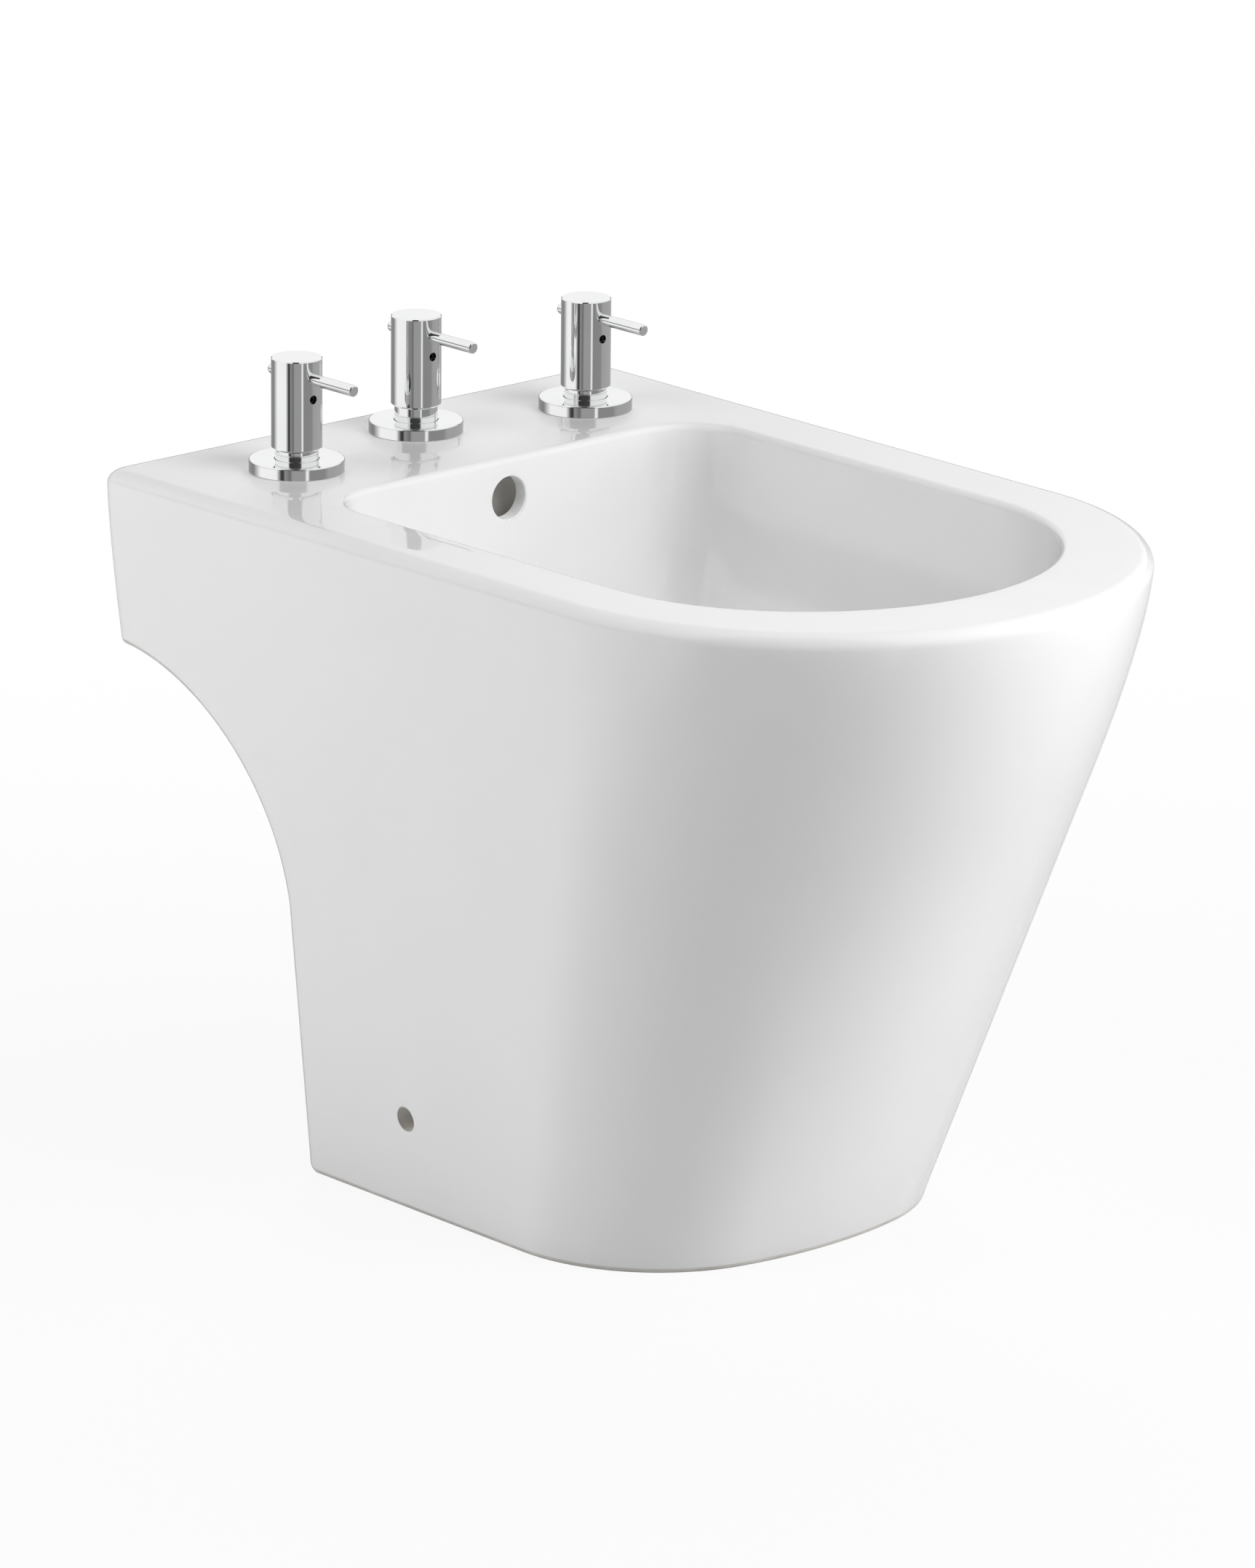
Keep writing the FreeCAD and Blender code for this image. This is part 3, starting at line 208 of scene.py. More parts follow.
def half_outline(outline, rear=None):
    """Points of the right half of a D from the middle of its front.

    An open D ends on its side, at the place given as rear.
    """
    radius = outline.half - outline.offset
    front_radius = radius + outline.setback / 2 + outline.offset ** 2 / (2 * outline.setback)
    shoulder = Vector((outline.offset, outline.front + radius + outline.setback))
    nose = Vector((0, outline.front + front_radius))
    corner = Vector((outline.back_half - outline.corner, outline.back - outline.corner))
    join = shoulder - nose
    join_angle = math.atan2(join.y, join.x)
    along = corner - shoulder
    lean = (radius - outline.corner) / along.length
    along.normalize()
    outward = along * lean + Vector((along.y, -along.x)) * math.sqrt(1 - lean ** 2)
    side_angle = math.atan2(outward.y, outward.x)
    side_start, side_end = shoulder + outward * radius, corner + outward * outline.corner

    def arc(middle, size, start, end, steps):
        angles = [start + (end - start) * share for share in shares(steps)]
        return [middle + Vector((math.cos(angle), math.sin(angle))) * size for angle in angles]

    points = arc(nose, front_radius, -math.pi / 2, join_angle, FRONT_STEPS)
    points += arc(shoulder, radius, join_angle, side_angle, SHOULDER_STEPS)[1:]
    side_share = 1
    if rear is not None:
        side_share = min((rear - side_start.y) / (side_end.y - side_start.y), 1)
    points += [side_start.lerp(side_end, side_share * share) for share in shares(SIDE_STEPS)[1:]]
    if rear is None:
        points += arc(corner, outline.corner, side_angle, math.pi / 2, CORNER_STEPS)[1:]
        back = Vector((corner.x, outline.back))
        points += [back.lerp(Vector((0, outline.back)), share) for share in shares(BACK_STEPS)[1:]]
    points[0].x = 0
    return points


SIDE_END = FRONT_STEPS + SHOULDER_STEPS + SIDE_STEPS
LAST = SIDE_END + CORNER_STEPS + BACK_STEPS


def add_row(verts, points, height):
    """Add both halves of an outline; the row maps columns, negative on the left, to vertices."""
    row = {}
    last = len(points) - 1
    for column in range(-last, last + 1):
        if column == -LAST:
            continue
        x, back = points[abs(column)]
        row[column] = len(verts)
        verts.append(to_metres(math.copysign(x, column), back, height))
    if last == LAST:
        row[-LAST] = row[LAST]
    return row


def join_rows(faces, rows):
    for lower, upper in zip(rows, rows[1:]):
        for column in lower:
            if all(end in row for row in (lower, upper) for end in (column, column + 1)):
                faces.append((lower[column], lower[column + 1], upper[column + 1], upper[column]))


def cap_row(faces, row):
    faces.append([row[column] for column in range(-LAST + 1, LAST + 1)])


def cut_line():
    """Where the skirt ends behind, from foot to deck: place, height and the way off the edge."""
    line = []
    for turn in quarter_turn(FOOT_STEPS):
        round_left = FOOT_ROUND - EDGE_ROUND
        line.append((PEDESTAL_FOOT - FOOT_ROUND + round_left * math.sin(turn),
                     FOOT_ROUND - round_left * math.cos(turn),
                     Vector((0, math.sin(turn), -math.cos(turn)))))
    for share in shares(PEDESTAL_STEPS)[1:]:
        line.append((PEDESTAL_FOOT + (PEDESTAL_BACK - PEDESTAL_FOOT) * share - EDGE_ROUND,
                     FOOT_ROUND + (CUT_HEIGHT - FOOT_ROUND) * share, Vector((0, 1, 0))))
    radius = CUT_RADIUS + EDGE_ROUND
    middle = PEDESTAL_BACK + CUT_RADIUS
    end = math.acos((middle - RIM.back + RIM.corner) / radius)
    for share in shares(CUT_STEPS)[1:]:
        turn = end * share
        line.append((middle - radius * math.cos(turn), CUT_HEIGHT + radius * math.sin(turn),
                     Vector((0, math.cos(turn), -math.sin(turn)))))
    return line


def skirt_rows(verts, inset, top):
    """Rows of the skirt's outside or inside, open behind up to the deck's back and closed above it."""
    line = cut_line()
    rows = [add_row(verts, half_outline(skirt_outline(height, inset), place), height)
            for place, height, _ in line[:-1]]
    foot = line[-1][1]
    for share in shares(SKIRT_STEPS):
        height = foot + (top - foot) * (1 - (1 - share) ** EASING_POWER)
        rows.append(add_row(verts, half_outline(skirt_outline(height, inset)), height))
    return rows


def edge_chain(rows):
    """The free edge of a skirt sheet: along the base, up a side of the cut, along the back and down."""
    line = cut_line()
    open_rows, closed_row = rows[:len(line) - 1], rows[len(line) - 1]
    down = Vector((0, 0, -1))
    chain = [(open_rows[0][column], down) for column in range(-SIDE_END, SIDE_END + 1)]
    sides = list(zip(open_rows, line))[1:]
    chain += [(row[SIDE_END], off) for row, (_, _, off) in sides]
    chain += [(closed_row[column], down) for column in range(SIDE_END, LAST + 1)]
    chain += [(closed_row[column], down) for column in range(-LAST + 1, -SIDE_END + 1)]
    chain += [(row[-SIDE_END], off) for row, (_, _, off) in reversed(sides)]
    return chain


def round_edge(verts, faces, outer_chain, inner_chain):
    """Close the wall between two sheets with rounded corners."""
    turns = quarter_turn(EDGE_STEPS)
    rings = []
    for (outer, off), (inner, _) in zip(outer_chain, inner_chain):
        across = (verts[outer] - verts[inner]).normalized()
        ring = [outer]
        for start, side, angles in ((outer, -across, turns[1:]), (inner, across, turns[:0:-1])):
            for turn in angles:
                ring.append(len(verts))
                round_part = off * math.sin(turn) + side * (1 - math.cos(turn))
                verts.append(verts[start] + round_part * EDGE_ROUND * MM)
        rings.append(ring + [inner])
    for first, second in zip(rings, rings[1:] + rings[:1]):
        for low, high in zip(range(len(first)), range(1, len(first))):
            faces.append((first[low], second[low], second[high], first[high]))


def bowl_rows(verts, spread, top, depth, start=0):
    rows = []
    for share in shares(BOWL_STEPS):
        turn = start + (math.pi / 2 - start) * share
        down = math.sin(turn) ** (2 / BOWL_POWER)
        drawn_in = 1 - max(math.cos(turn), 0) ** (2 / BOWL_POWER)
        outline = spread_bowl(blended(BOWL, FLOOR, drawn_in), spread)
        rows.append(add_row(verts, half_outline(outline), top - depth * down))
    return rows


def flat_rows(verts, first, second, height, steps):
    """Rows on a level face between two outlines, without the outlines themselves."""
    return [add_row(verts, [a.lerp(b, share) for a, b in zip(first, second)], height)
            for share in shares(steps)[1:-1]]


def floor_rows(verts, spread, height):
    outline = half_outline(spread_bowl(FLOOR, spread))
    middle = Vector((0, (FLOOR.front + FLOOR.back) / 2))
    return flat_rows(verts, outline, [middle] * len(outline), height, FLOOR_STEPS)


def mark_bare_and_shade(piece, first=0):
    """Mark the faces from an index on with the darker unglazed colour, which is bare clay inside the
    skirt and painted shade where it lines a hole.
    """
    bare_and_shade = piece.data.attributes.new(BARE_AND_SHADE, "FLOAT", "FACE")
    bare_and_shade.data.foreach_set("value", [float(index >= first) for index in range(len(bare_and_shade.data))])


def ceramic_shell():
    verts, faces = [], []
    turns = quarter_turn(ROUND_STEPS)
    # Outside: skirt, edge of the rim, its flat top, the lip and the bowl
    skirt = skirt_rows(verts, 0, SKIRT_TOP)
    rows = list(skirt)
    for turn in turns[1:]:
        outline = inset_skirt(RIM, RIM_ROUND * (1 - math.cos(turn)))
        rows.append(add_row(verts, half_outline(outline), SKIRT_TOP + RIM_ROUND * math.sin(turn)))
    rows += flat_rows(verts, half_outline(inset_skirt(RIM, RIM_ROUND)),
                      half_outline(spread_bowl(BOWL, LIP_ROUND)), RIM_HEIGHT, FLAT_STEPS)
    for turn in reversed(turns[1:]):
        outline = spread_bowl(BOWL, LIP_ROUND * (1 - math.cos(turn)))
        rows.append(add_row(verts, half_outline(outline), LIP_FOOT + LIP_ROUND * math.sin(turn)))
    rows += bowl_rows(verts, 0, LIP_FOOT, BOWL_DEPTH - LIP_ROUND)
    rows += floor_rows(verts, 0, BOWL_FLOOR)
    join_rows(faces, rows)
    cap_row(faces, rows[-1])
    # Inside: the hollow of the skirt, the underside of the deck and the bowl from below
    hollow_start = len(faces)
    hollow = skirt_rows(verts, WALL, DECK_UNDERSIDE)
    start = math.asin(((SHELL_TOP - DECK_UNDERSIDE) / SHELL_DEPTH) ** (BOWL_POWER / 2))
    rows = list(hollow)
    rows += flat_rows(verts, half_outline(skirt_outline(DECK_UNDERSIDE, WALL)),
                      half_outline(spread_bowl(BOWL, WALL)), DECK_UNDERSIDE, FLAT_STEPS)
    rows += bowl_rows(verts, WALL, SHELL_TOP, SHELL_DEPTH, start)
    rows += floor_rows(verts, WALL, BOWL_FLOOR - WALL)
    join_rows(faces, rows)
    cap_row(faces, rows[-1])
    round_edge(verts, faces, edge_chain(skirt), edge_chain(hollow))
    shell = new_piece("ceramic_glaze", verts, faces)
    mark_bare_and_shade(shell, hollow_start)
    return shell


def lathe(name, profile, place=Matrix()):
    """Turn a profile of (radius, along) points, which starts and ends on the axis, about Z.

    The first facet starts half a step round, so that no corner lies on the body's middle plane.
    """
    verts, faces, rings = [], [], []
    for radius, along in profile:
        steps = LATHE_STEPS if radius > 0 else 1
        rings.append(range(len(verts), len(verts) + steps))
        for step in range(steps):
            turn = (step + 1 / 2) * 2 * math.pi / steps
            point = Vector((radius * math.cos(turn), radius * math.sin(turn), along)) * MM
            verts.append(place @ point)
    for lower, upper in zip(rings, rings[1:]):
        for step in range(LATHE_STEPS):
            after = step + 1
            corners = [lower[step % len(lower)], lower[after % len(lower)],
                       upper[after % len(upper)], upper[step % len(upper)]]
            faces.append(list(dict.fromkeys(corners)))
    return new_piece(name, verts, faces)


def drill(radius, mouth, end, place, flare=HOLE_ROUND):
    """A cutter along Z from end to past the mouth, with the mouth's edge rounded."""
    profile = [(0, end), (radius, end)]
    for turn in quarter_turn(EDGE_STEPS):
        profile.append((radius + flare * (1 - math.cos(turn)), mouth - flare + flare * math.sin(turn)))
    profile += [(radius + flare, mouth + OVERRUN), (0, mouth + OVERRUN)]
    return lathe("cutter", profile, place)


def upright(x, back, height=0):
    """A place for a lathe whose axis stands upright."""
    return Matrix.Translation(to_metres(x, back, height))


def solid_between(first, second):
    """A solid with two like rings of points as its ends."""
    count = len(first)
    faces = [list(range(count)), list(range(count, 2 * count))]
    for index in range(count):
        after = (index + 1) % count
        faces.append((index, after, after + count, index + count))
    return new_piece("solid", first + second, faces)


def prism(points, half):
    """A solid with a side view in (place, height) points, as wide as twice half."""
    ends = [[to_metres(x, back, height) for back, height in points] for x in (-half, half)]
    return solid_between(*ends)


def overflow_duct():
    """The duct down behind the bowl, then forward under it to the drain."""
    front, back = BOWL.back, CHANNEL_FRONT + CHANNEL_DEPTH + CHANNEL_WALL
    ceiling, floor = CHANNEL_CEILING + CHANNEL_WALL, CHANNEL_FLOOR - CHANNEL_WALL
    points = [(front, CHANNEL_TOP), (back, CHANNEL_TOP), (back, floor),
              (DRAIN_PLACE, floor), (DRAIN_PLACE, ceiling), (front, ceiling)]
    return prism(points, CHANNEL_HALF + CHANNEL_WALL)


def overflow_channel():
    """Cutters for the inside of the duct: a shaft with a round back, and the run to the drain."""
    plan = []
    for share in shares(LATHE_STEPS):
        turn = share * math.pi
        plan.append((SHAFT_HALF * math.cos(turn), CHANNEL_FRONT + CHANNEL_DEPTH * math.sin(turn)))
    ends = [[to_metres(x, back, height) for x, back in plan] for height in (SHAFT_FOOT, CHANNEL_TOP)]
    rear = CHANNEL_FRONT + CHANNEL_DEPTH / 2
    run = [(rear, CHANNEL_CEILING), (rear, CHANNEL_FLOOR),
           (DRAIN_PLACE, CHANNEL_FLOOR), (DRAIN_PLACE, CHANNEL_CEILING)]
    return [solid_between(*ends), prism(run, CHANNEL_HALF)]


def tap_axis(tap):
    """Where a tap stands, from its flange: sideways and back from the front of the rim."""
    low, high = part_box(f"{tap}_flange")
    middle = (low + high) / 2 / MM
    return middle.x, middle.y + RIM.back / 2


def ceramic_body():
    body = ceramic_shell()
    # What stands under the bowl: the boss round the drain and the overflow's duct
    drain = upright(0, DRAIN_PLACE)
    boss_foot, boss_top = BOWL_FLOOR - BOSS_LENGTH, BOWL_FLOOR - WALL / 2
    boss = lathe("boss", [(0, boss_foot), (BOSS_RADIUS, boss_foot),
                          (BOSS_RADIUS, boss_top), (0, boss_top)], drain)
    lumps = [boss, overflow_duct()]
    channel = overflow_channel()
    # The boss and the duct are unglazed clay; the channel cutters pass the darker colour to the
    # channel's walls as painted shade
    for piece in lumps + channel:
        mark_bare_and_shade(piece)
    combine(body, lumps, "UNION")
    # Holes through the deck, the bowl's floor, its rear wall and the sides
    cutters = [drill(DECK_HOLE_RADIUS, RIM_HEIGHT, DECK_UNDERSIDE - OVERRUN, upright(*tap_axis(tap)))
               for tap in TAPS]
    spray = upright(0, SPRAY_PLACE)
    cutters.append(drill(SPRAY_HOLE_RADIUS, BOWL_FLOOR, BOWL_FLOOR - WALL - OVERRUN, spray))
    cutters.append(drill(DRAIN_RECESS_RADIUS, BOWL_FLOOR, BOWL_FLOOR - DRAIN_RECESS_DEPTH, drain))
    # The bore is turned by half a step, so that its corners miss those of the boss and the recess
    half_step = turned(math.pi / LATHE_STEPS, "Z")
    cutters.append(drill(DRAIN_RADIUS, BOWL_FLOOR, boss_foot - OVERRUN, drain @ half_step))
    overflow = upright(0, BOWL.back, RIM_HEIGHT - OVERFLOW_DROP) @ turned(math.pi / 2, "X")
    cutters.append(drill(OVERFLOW_RADIUS, 0, -CHANNEL_DEPTH / 2 - CHANNEL_WALL, overflow))
    cutters += channel
    outside = skirt_outline(FIXING_HEIGHT).half
    for side in (-1, 1):
        fixing = upright(side * outside, FIXING_PLACE, FIXING_HEIGHT)
        sideways = turned(side * math.pi / 2, "Y")
        fixing_hole = drill(FIXING_RADIUS, 0, -FIXING_REACH, fixing @ sideways)
        # The hole's tunnel and rounded mouth get the darker unglazed colour as painted shade
        mark_bare_and_shade(fixing_hole)
        cutters.append(fixing_hole)
    combine(body, cutters, "DIFFERENCE")
    body.data.shade_smooth()
    body.data.set_sharp_from_angle(angle=math.radians(SHARP_DEGREES))
    return body


# Trim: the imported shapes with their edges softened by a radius

TAP_TRIM = {"flange": 0.35, "neck": 0.12, "handle": 0.18, "lever": 0.15}
TURNING = ("handle", "lever")
BOWL_TRIM = {"spray_head": "bidet", "waste_body": "bidet", "waste_plug": "pop_up_plug"}
BOWL_TRIM_EDGE = 0.3


def refined(node, body, edge):
    """A copy of a node's mesh with clean faces and softly rounded edges, riding where the node does."""
    source = frame["nodes"][node]
    mesh = source.data.copy()
    work = bmesh.new()
    work.from_mesh(mesh)
    bmesh.ops.remove_doubles(work, verts=work.verts, dist=WELD * MM)
    bmesh.ops.dissolve_limit(work, angle_limit=math.radians(FLAT_DEGREES),
                             verts=work.verts, edges=work.edges)
    work.to_mesh(mesh)
    work.free()
    piece = bpy.data.objects.new(f"{node}_trim", mesh)
    bpy.context.scene.collection.objects.link(piece)
    mesh.shade_smooth()
    bevel = piece.modifiers.new("edges", "BEVEL")
    bevel.limit_method = "ANGLE"
    bevel.angle_limit = math.radians(EDGE_DEGREES)
    bevel.width = edge * MM
    bevel.segments = BEVEL_STEPS
    piece.modifiers.new("flat_faces", "WEIGHTED_NORMAL")
    apply_modifiers(piece)
    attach(piece, body)
    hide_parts(node)


def make_trim():
    for tap in TAPS:
        for piece, edge in TAP_TRIM.items():
            refined(f"{tap}_{piece}", f"{tap}_lever_handle" if piece in TURNING else "bidet", edge)
    for node, body in BOWL_TRIM.items():
        refined(node, body, BOWL_TRIM_EDGE)


# Materials

# How a slot looks: metal share, two colours mixed by noise, roughness from smooth to rough by noise,
# and a bump in millimetres; each noise has a scale per metre
Look = namedtuple("Look", "metal dark light tint_scale smooth rough gloss_scale bump bump_scale",
                  defaults=(0, 0))
GLAZE = Look(0, (0.86, 0.86, 0.863), (0.88, 0.88, 0.882), 9, 0.02, 0.04, 60, 0.16, 24)
# Unglazed clay; the same darker colour is painted shade inside the overflow channel and the fixing holes
UNGLAZED_AND_SHADE = Look(0, (0.58, 0.56, 0.53), (0.69, 0.67, 0.64), 70, 0.7, 0.74, 60)
GLAZE_IOR = 1.55
LOOKS = {
    "glazed_china": GLAZE,
    "polished_chrome": Look(1, (0.84, 0.843, 0.848), (0.875, 0.877, 0.88), 40, 0.02, 0.06, 900),
    "black_steel": Look(0.6, (0.012, 0.012, 0.014), (0.03, 0.03, 0.032), 700, 0.3, 0.5, 900),
    "brass": Look(1, (0.62, 0.44, 0.19), (0.76, 0.58, 0.30), 90, 0.2, 0.42, 500, 0.01, 1200),
    "disc_ceramic": Look(0, (0.80, 0.78, 0.72), (0.88, 0.86, 0.80), 300, 0.17, 0.23, 400),
    "black_rubber": Look(0, (0.018, 0.018, 0.019), (0.04, 0.04, 0.042), 400, 0.55, 0.8, 800, 0.02, 1500),
    "white_plastic": Look(0, (0.78, 0.78, 0.76), (0.84, 0.84, 0.82), 300, 0.3, 0.4, 500),
    "spring_steel": Look(1, (0.5, 0.5, 0.51), (0.66, 0.66, 0.67), 500, 0.2, 0.4, 900),
}
# Where on its noise a tint starts and ends
TINT_SHARES = (0.3, 0.7)
NOISE_DETAIL = 3
BUMP_DETAIL = 1
OPAQUE = 1


def grey(level):
    return level, level, level, OPAQUE


def mix_values(tree, fac, first, second, kind="RGBA"):
    """Mix two values by a socket; each is a socket, or a level of grey."""
    mix = tree.nodes.new("ShaderNodeMix")
    mix.data_type = kind
    sockets = [socket for socket in mix.inputs if socket.enabled]
    tree.links.new(fac, sockets[0])
    for socket, value in zip(sockets[1:], (first, second)):
        if isinstance(value, bpy.types.NodeSocket):
            tree.links.new(value, socket)
        else:
            socket.default_value = grey(value)
    return next(socket for socket in mix.outputs if socket.enabled)


def share_between(tree, value, start, end, low=0, high=1):
    """Carry a value over from the range start to end to the range low to high."""
    node = tree.nodes.new("ShaderNodeMapRange")
    for socket, limit in (("From Min", start), ("From Max", end), ("To Min", low), ("To Max", high)):
        node.inputs[socket].default_value = limit
    tree.links.new(value, node.inputs["Value"])
    return node.outputs["Result"]


def noise(tree, scale, detail=NOISE_DETAIL):
    node = tree.nodes.new("ShaderNodeTexNoise")
    node.inputs["Scale"].default_value = scale
    node.inputs["Detail"].default_value = detail
    place = tree.nodes.new("ShaderNodeTexCoord").outputs["Object"]
    tree.links.new(place, node.inputs["Vector"])
    return node.outputs["Fac"]


def tint(tree, look):
    ramp = tree.nodes.new("ShaderNodeValToRGB")
    for element, share, colour in zip(ramp.color_ramp.elements, TINT_SHARES, (look.dark, look.light)):
        element.position = share
        element.color = (*colour, OPAQUE)
    tree.links.new(noise(tree, look.tint_scale), ramp.inputs["Fac"])
    return ramp.outputs["Color"]


def gloss(tree, look):
    return share_between(tree, noise(tree, look.gloss_scale), 0, 1, look.smooth, look.rough)


def make_material(slot, look):
    material = bpy.data.materials.new(slot)
    material.use_nodes = True
    tree = material.node_tree
    principled = tree.nodes["Principled BSDF"]
    principled.inputs["Metallic"].default_value = look.metal
    colour, roughness = tint(tree, look), gloss(tree, look)
    if look is GLAZE:
        principled.inputs["IOR"].default_value = GLAZE_IOR
        # Mix in the darker unglazed colour where the mesh value is set: bare clay inside, painted shade
        # in the channel and fixing holes
        bare_and_shade = tree.nodes.new("ShaderNodeAttribute")
        bare_and_shade.attribute_name = BARE_AND_SHADE
        colour = mix_values(tree, bare_and_shade.outputs["Fac"], colour, tint(tree, UNGLAZED_AND_SHADE))
        roughness = mix_values(tree, bare_and_shade.outputs["Fac"], roughness, gloss(tree, UNGLAZED_AND_SHADE), "FLOAT")
    tree.links.new(colour, principled.inputs["Base Color"])
    tree.links.new(roughness, principled.inputs["Roughness"])
    if look.bump:
        bump = tree.nodes.new("ShaderNodeBump")
        bump.inputs["Distance"].default_value = look.bump * MM
        tree.links.new(noise(tree, look.bump_scale, BUMP_DETAIL), bump.inputs["Height"])
        tree.links.new(bump.outputs["Normal"], principled.inputs["Normal"])
    return material


# Studio

CAMERA_TARGET = Vector((-0.0315, 0.0158, 0.2420))
CAMERA_AZIMUTH = -42.5723
CAMERA_ELEVATION = 16.5072
CAMERA_ROLL = 0.5293
CAMERA_DISTANCE = 5.275
SENSOR_HEIGHT = 36.0
CAMERA_LENS = 219.95
FLOOR_SIZE = 30
FLOOR_COLOUR = grey(0.72)
FLOOR_ROUGHNESS = 0.9
# How white the floor is made for the camera, close to the object and away from it
NEAR_DISTANCE, FAR_DISTANCE = 0.4, 1.3
NEAR_WHITE_SHARE, FAR_WHITE_SHARE = 0.9, 1.0
WHITE_LEVEL = 1.0
# What gloss mirrors from the floor up: levels of light by the height of a direction, with rings of cards
# given in degrees to the right of the camera
AMBIENT_LEVEL = 0.0
FLOOR_LEVEL = 0.4
HORIZON_LEVEL = 0.3
CARDS = ((-180, 0.42), (-150, 0.3), (-125, 0.24), (-112, 0.5), (-95, 1.0), (-48, 0.98), (-40, 0.3),
         (-36, 0.05), (-30, 0.05), (-26, 0.3), (-14, 0.16), (-8, 0.34), (22, 0.34), (25, 0.92),
         (29, 0.92), (33, 0.26), (72, 0.27), (84, 0.38), (150, 0.42), (180, 0.7))
SKY = ((-180, 1.0), (-44, 1.0), (-36, 0.04), (22, 0.06), (30, 0.9), (180, 1.0))
CARDS_FOOT = (-0.6, -0.46)
HORIZON_FOOT = (-0.12, -0.08)
SKY_FOOT = (0.12, 0.18)
# Soft boxes, all as large and as far: azimuth, elevation and watts
LAMP_DISTANCE = 2.0
LAMP_WIDTH, LAMP_HEIGHT = 1.2, 1.0
LAMPS = {
    "left_low": (-120, 5, 12.5),
    "left_middle": (-120, 25, 7.0),
    "left_high": (-96, 45, 7.2),
    "right_high": (12, 52, 17.6),
    "right_middle": (18, 30, 13.0),
    "right_low": (45, 10, 15.4),
    "rear": (140, 20, 22.6),
}


def turned_to(azimuth, elevation, roll=0):
    """A turn whose local Z points from the object to an azimuth and elevation in degrees."""
    return (turned(math.radians(azimuth), "Z")
            @ turned(math.radians(QUARTER_TURN - elevation), "X")
            @ turned(math.radians(roll), "Z"))


def look_from(thing, target, azimuth, elevation, distance, roll=0):
    turn = turned_to(azimuth, elevation, roll)
    thing.matrix_world = Matrix.Translation(target + turn.to_3x3() @ Vector((0, 0, distance))) @ turn
    bpy.context.scene.collection.objects.link(thing)


def make_camera():
    data = bpy.data.cameras.new("camera")
    data.sensor_fit = "VERTICAL"
    data.sensor_height = SENSOR_HEIGHT
    data.lens = CAMERA_LENS
    camera = bpy.data.objects.new("camera", data)
    look_from(camera, CAMERA_TARGET, CAMERA_AZIMUTH, CAMERA_ELEVATION, CAMERA_DISTANCE, CAMERA_ROLL)
    bpy.context.scene.camera = camera


def make_lamp(name, azimuth, elevation, watts):
    data = bpy.data.lights.new(name, "AREA")
    data.shape = "RECTANGLE"
    data.size, data.size_y = LAMP_WIDTH, LAMP_HEIGHT
    data.energy = watts
    lamp = bpy.data.objects.new(name, data)
    lamp.visible_glossy = False
    look_from(lamp, CAMERA_TARGET, azimuth, elevation, LAMP_DISTANCE)


def turn_from_camera(tree, direction):
    """How far round from the camera a direction points, as a share of a turn, and its height."""
    turn = tree.nodes.new("ShaderNodeVectorRotate")
    turn.rotation_type = "Z_AXIS"
    turn.inputs["Angle"].default_value = math.radians(QUARTER_TURN - CAMERA_AZIMUTH)
    tree.links.new(direction, turn.inputs["Vector"])
    place = tree.nodes.new("ShaderNodeSeparateXYZ")
    tree.links.new(turn.outputs["Vector"], place.inputs["Vector"])
    angle = tree.nodes.new("ShaderNodeMath")
    angle.operation = "ARCTAN2"
    tree.links.new(place.outputs["Y"], angle.inputs[0])
    tree.links.new(place.outputs["X"], angle.inputs[1])
    return share_between(tree, angle.outputs["Value"], -math.pi, math.pi), place.outputs["Z"]


def card_ring(tree, turn, cards):
    """Cards that stand round the object, as a ramp over a turn."""
    ramp = tree.nodes.new("ShaderNodeValToRGB")
    elements = ramp.color_ramp.elements
    for degrees, _ in cards[1:-1]:
        elements.new(degrees / WHOLE_TURN + 1 / 2)
    for element, (_, level) in zip(elements, cards):
        element.color = grey(level)
    tree.links.new(turn, ramp.inputs["Fac"])
    return ramp.outputs["Color"]


def make_world():
    """White to the camera; gloss sees a floor, cards, a dim horizon and a sky, dark at the camera."""
    world = bpy.data.worlds.new("studio")
    bpy.context.scene.world = world
    world.use_nodes = True
    tree = world.node_tree
    turn, height = turn_from_camera(tree, tree.nodes.new("ShaderNodeTexCoord").outputs["Generated"])
    mirrored = FLOOR_LEVEL
    for foot, above in ((CARDS_FOOT, card_ring(tree, turn, CARDS)), (HORIZON_FOOT, HORIZON_LEVEL),
                        (SKY_FOOT, card_ring(tree, turn, SKY))):
        mirrored = mix_values(tree, share_between(tree, height, *foot), mirrored, above)
    path = tree.nodes.new("ShaderNodeLightPath")
    colour = mix_values(tree, path.outputs["Is Glossy Ray"], AMBIENT_LEVEL, mirrored)
    colour = mix_values(tree, path.outputs["Is Camera Ray"], colour, WHITE_LEVEL)
    tree.links.new(colour, tree.nodes["Background"].inputs["Color"])


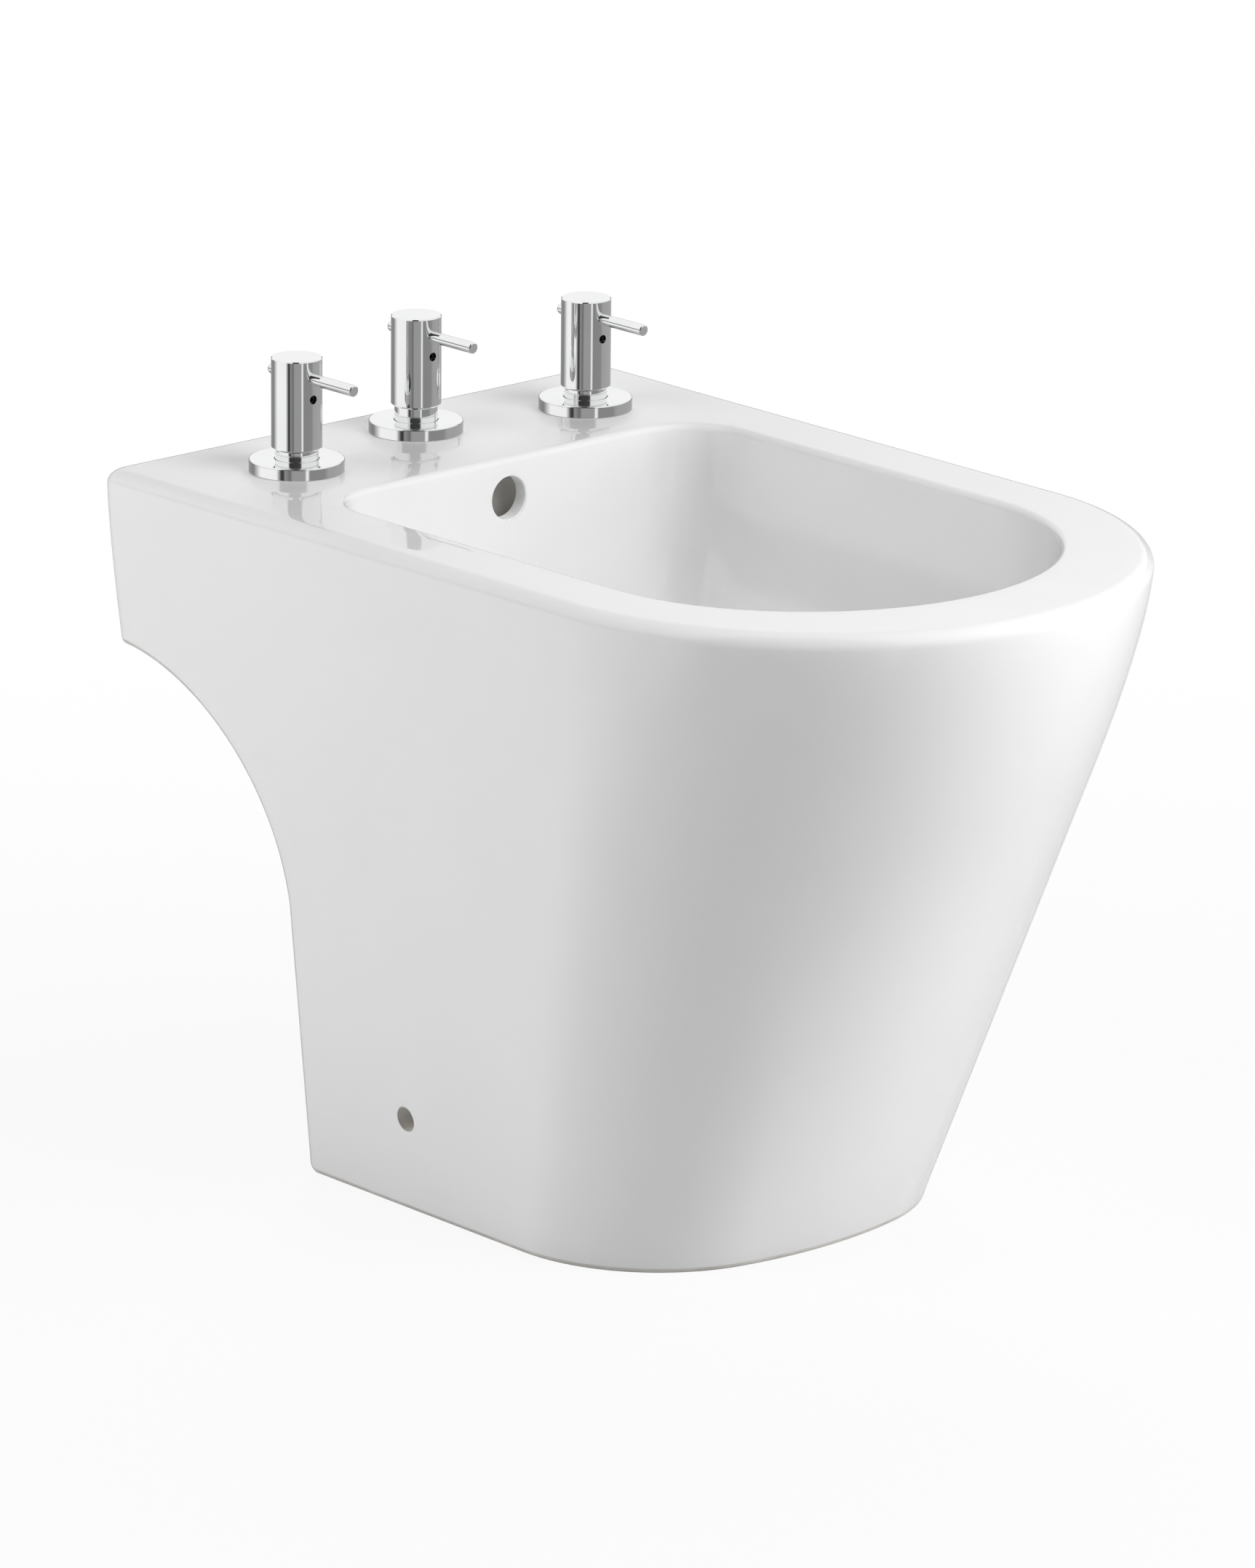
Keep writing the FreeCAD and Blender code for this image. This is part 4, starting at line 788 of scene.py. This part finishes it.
def make_floor():
    """A pale floor, nearly white to the camera with the object's shadow left on it."""
    bpy.ops.mesh.primitive_plane_add(size=FLOOR_SIZE)
    floor = bpy.context.active_object
    floor.name = "floor"
    material = bpy.data.materials.new("floor")
    material.use_nodes = True
    tree = material.node_tree
    principled = tree.nodes["Principled BSDF"]
    principled.inputs["Base Color"].default_value = FLOOR_COLOUR
    principled.inputs["Roughness"].default_value = FLOOR_ROUGHNESS
    glow = tree.nodes.new("ShaderNodeEmission")
    mix = tree.nodes.new("ShaderNodeMixShader")
    distance = tree.nodes.new("ShaderNodeVectorMath")
    distance.operation = "LENGTH"
    tree.links.new(tree.nodes.new("ShaderNodeTexCoord").outputs["Object"], distance.inputs[0])
    share = share_between(tree, distance.outputs["Value"], NEAR_DISTANCE, FAR_DISTANCE,
                          NEAR_WHITE_SHARE, FAR_WHITE_SHARE)
    white = tree.nodes.new("ShaderNodeMath")
    white.operation = "MULTIPLY"
    tree.links.new(tree.nodes.new("ShaderNodeLightPath").outputs["Is Camera Ray"], white.inputs[0])
    tree.links.new(share, white.inputs[1])
    tree.links.new(white.outputs["Value"], mix.inputs["Fac"])
    tree.links.new(principled.outputs["BSDF"], mix.inputs[1])
    tree.links.new(glow.outputs["Emission"], mix.inputs[2])
    tree.links.new(mix.outputs["Shader"], tree.nodes["Material Output"].inputs["Surface"])
    floor.data.materials.append(material)
    floor.visible_glossy = False


def make_studio():
    for name, values in LAMPS.items():
        make_lamp(name, *values)
    make_world()
    make_floor()


bpy.context.scene.view_settings.view_transform = "Standard"
materials = {slot: make_material(slot, look) for slot, look in LOOKS.items()}
for subpart in frame["record"]["subparts"]:
    node = frame["nodes"][subpart["node"]]
    node.data.materials.clear()
    node.data.materials.append(materials[subpart["material_slot"]])

china = ceramic_body()
china.data.materials.clear()
china.data.materials.append(materials["glazed_china"])
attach(china, "bidet")
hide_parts("ceramic_body")
# Chrome and glaze mirror the trim and the studio only
for thing in (china, *frame["nodes"].values()):
    thing.visible_glossy = False

make_trim()
make_camera()
make_studio()
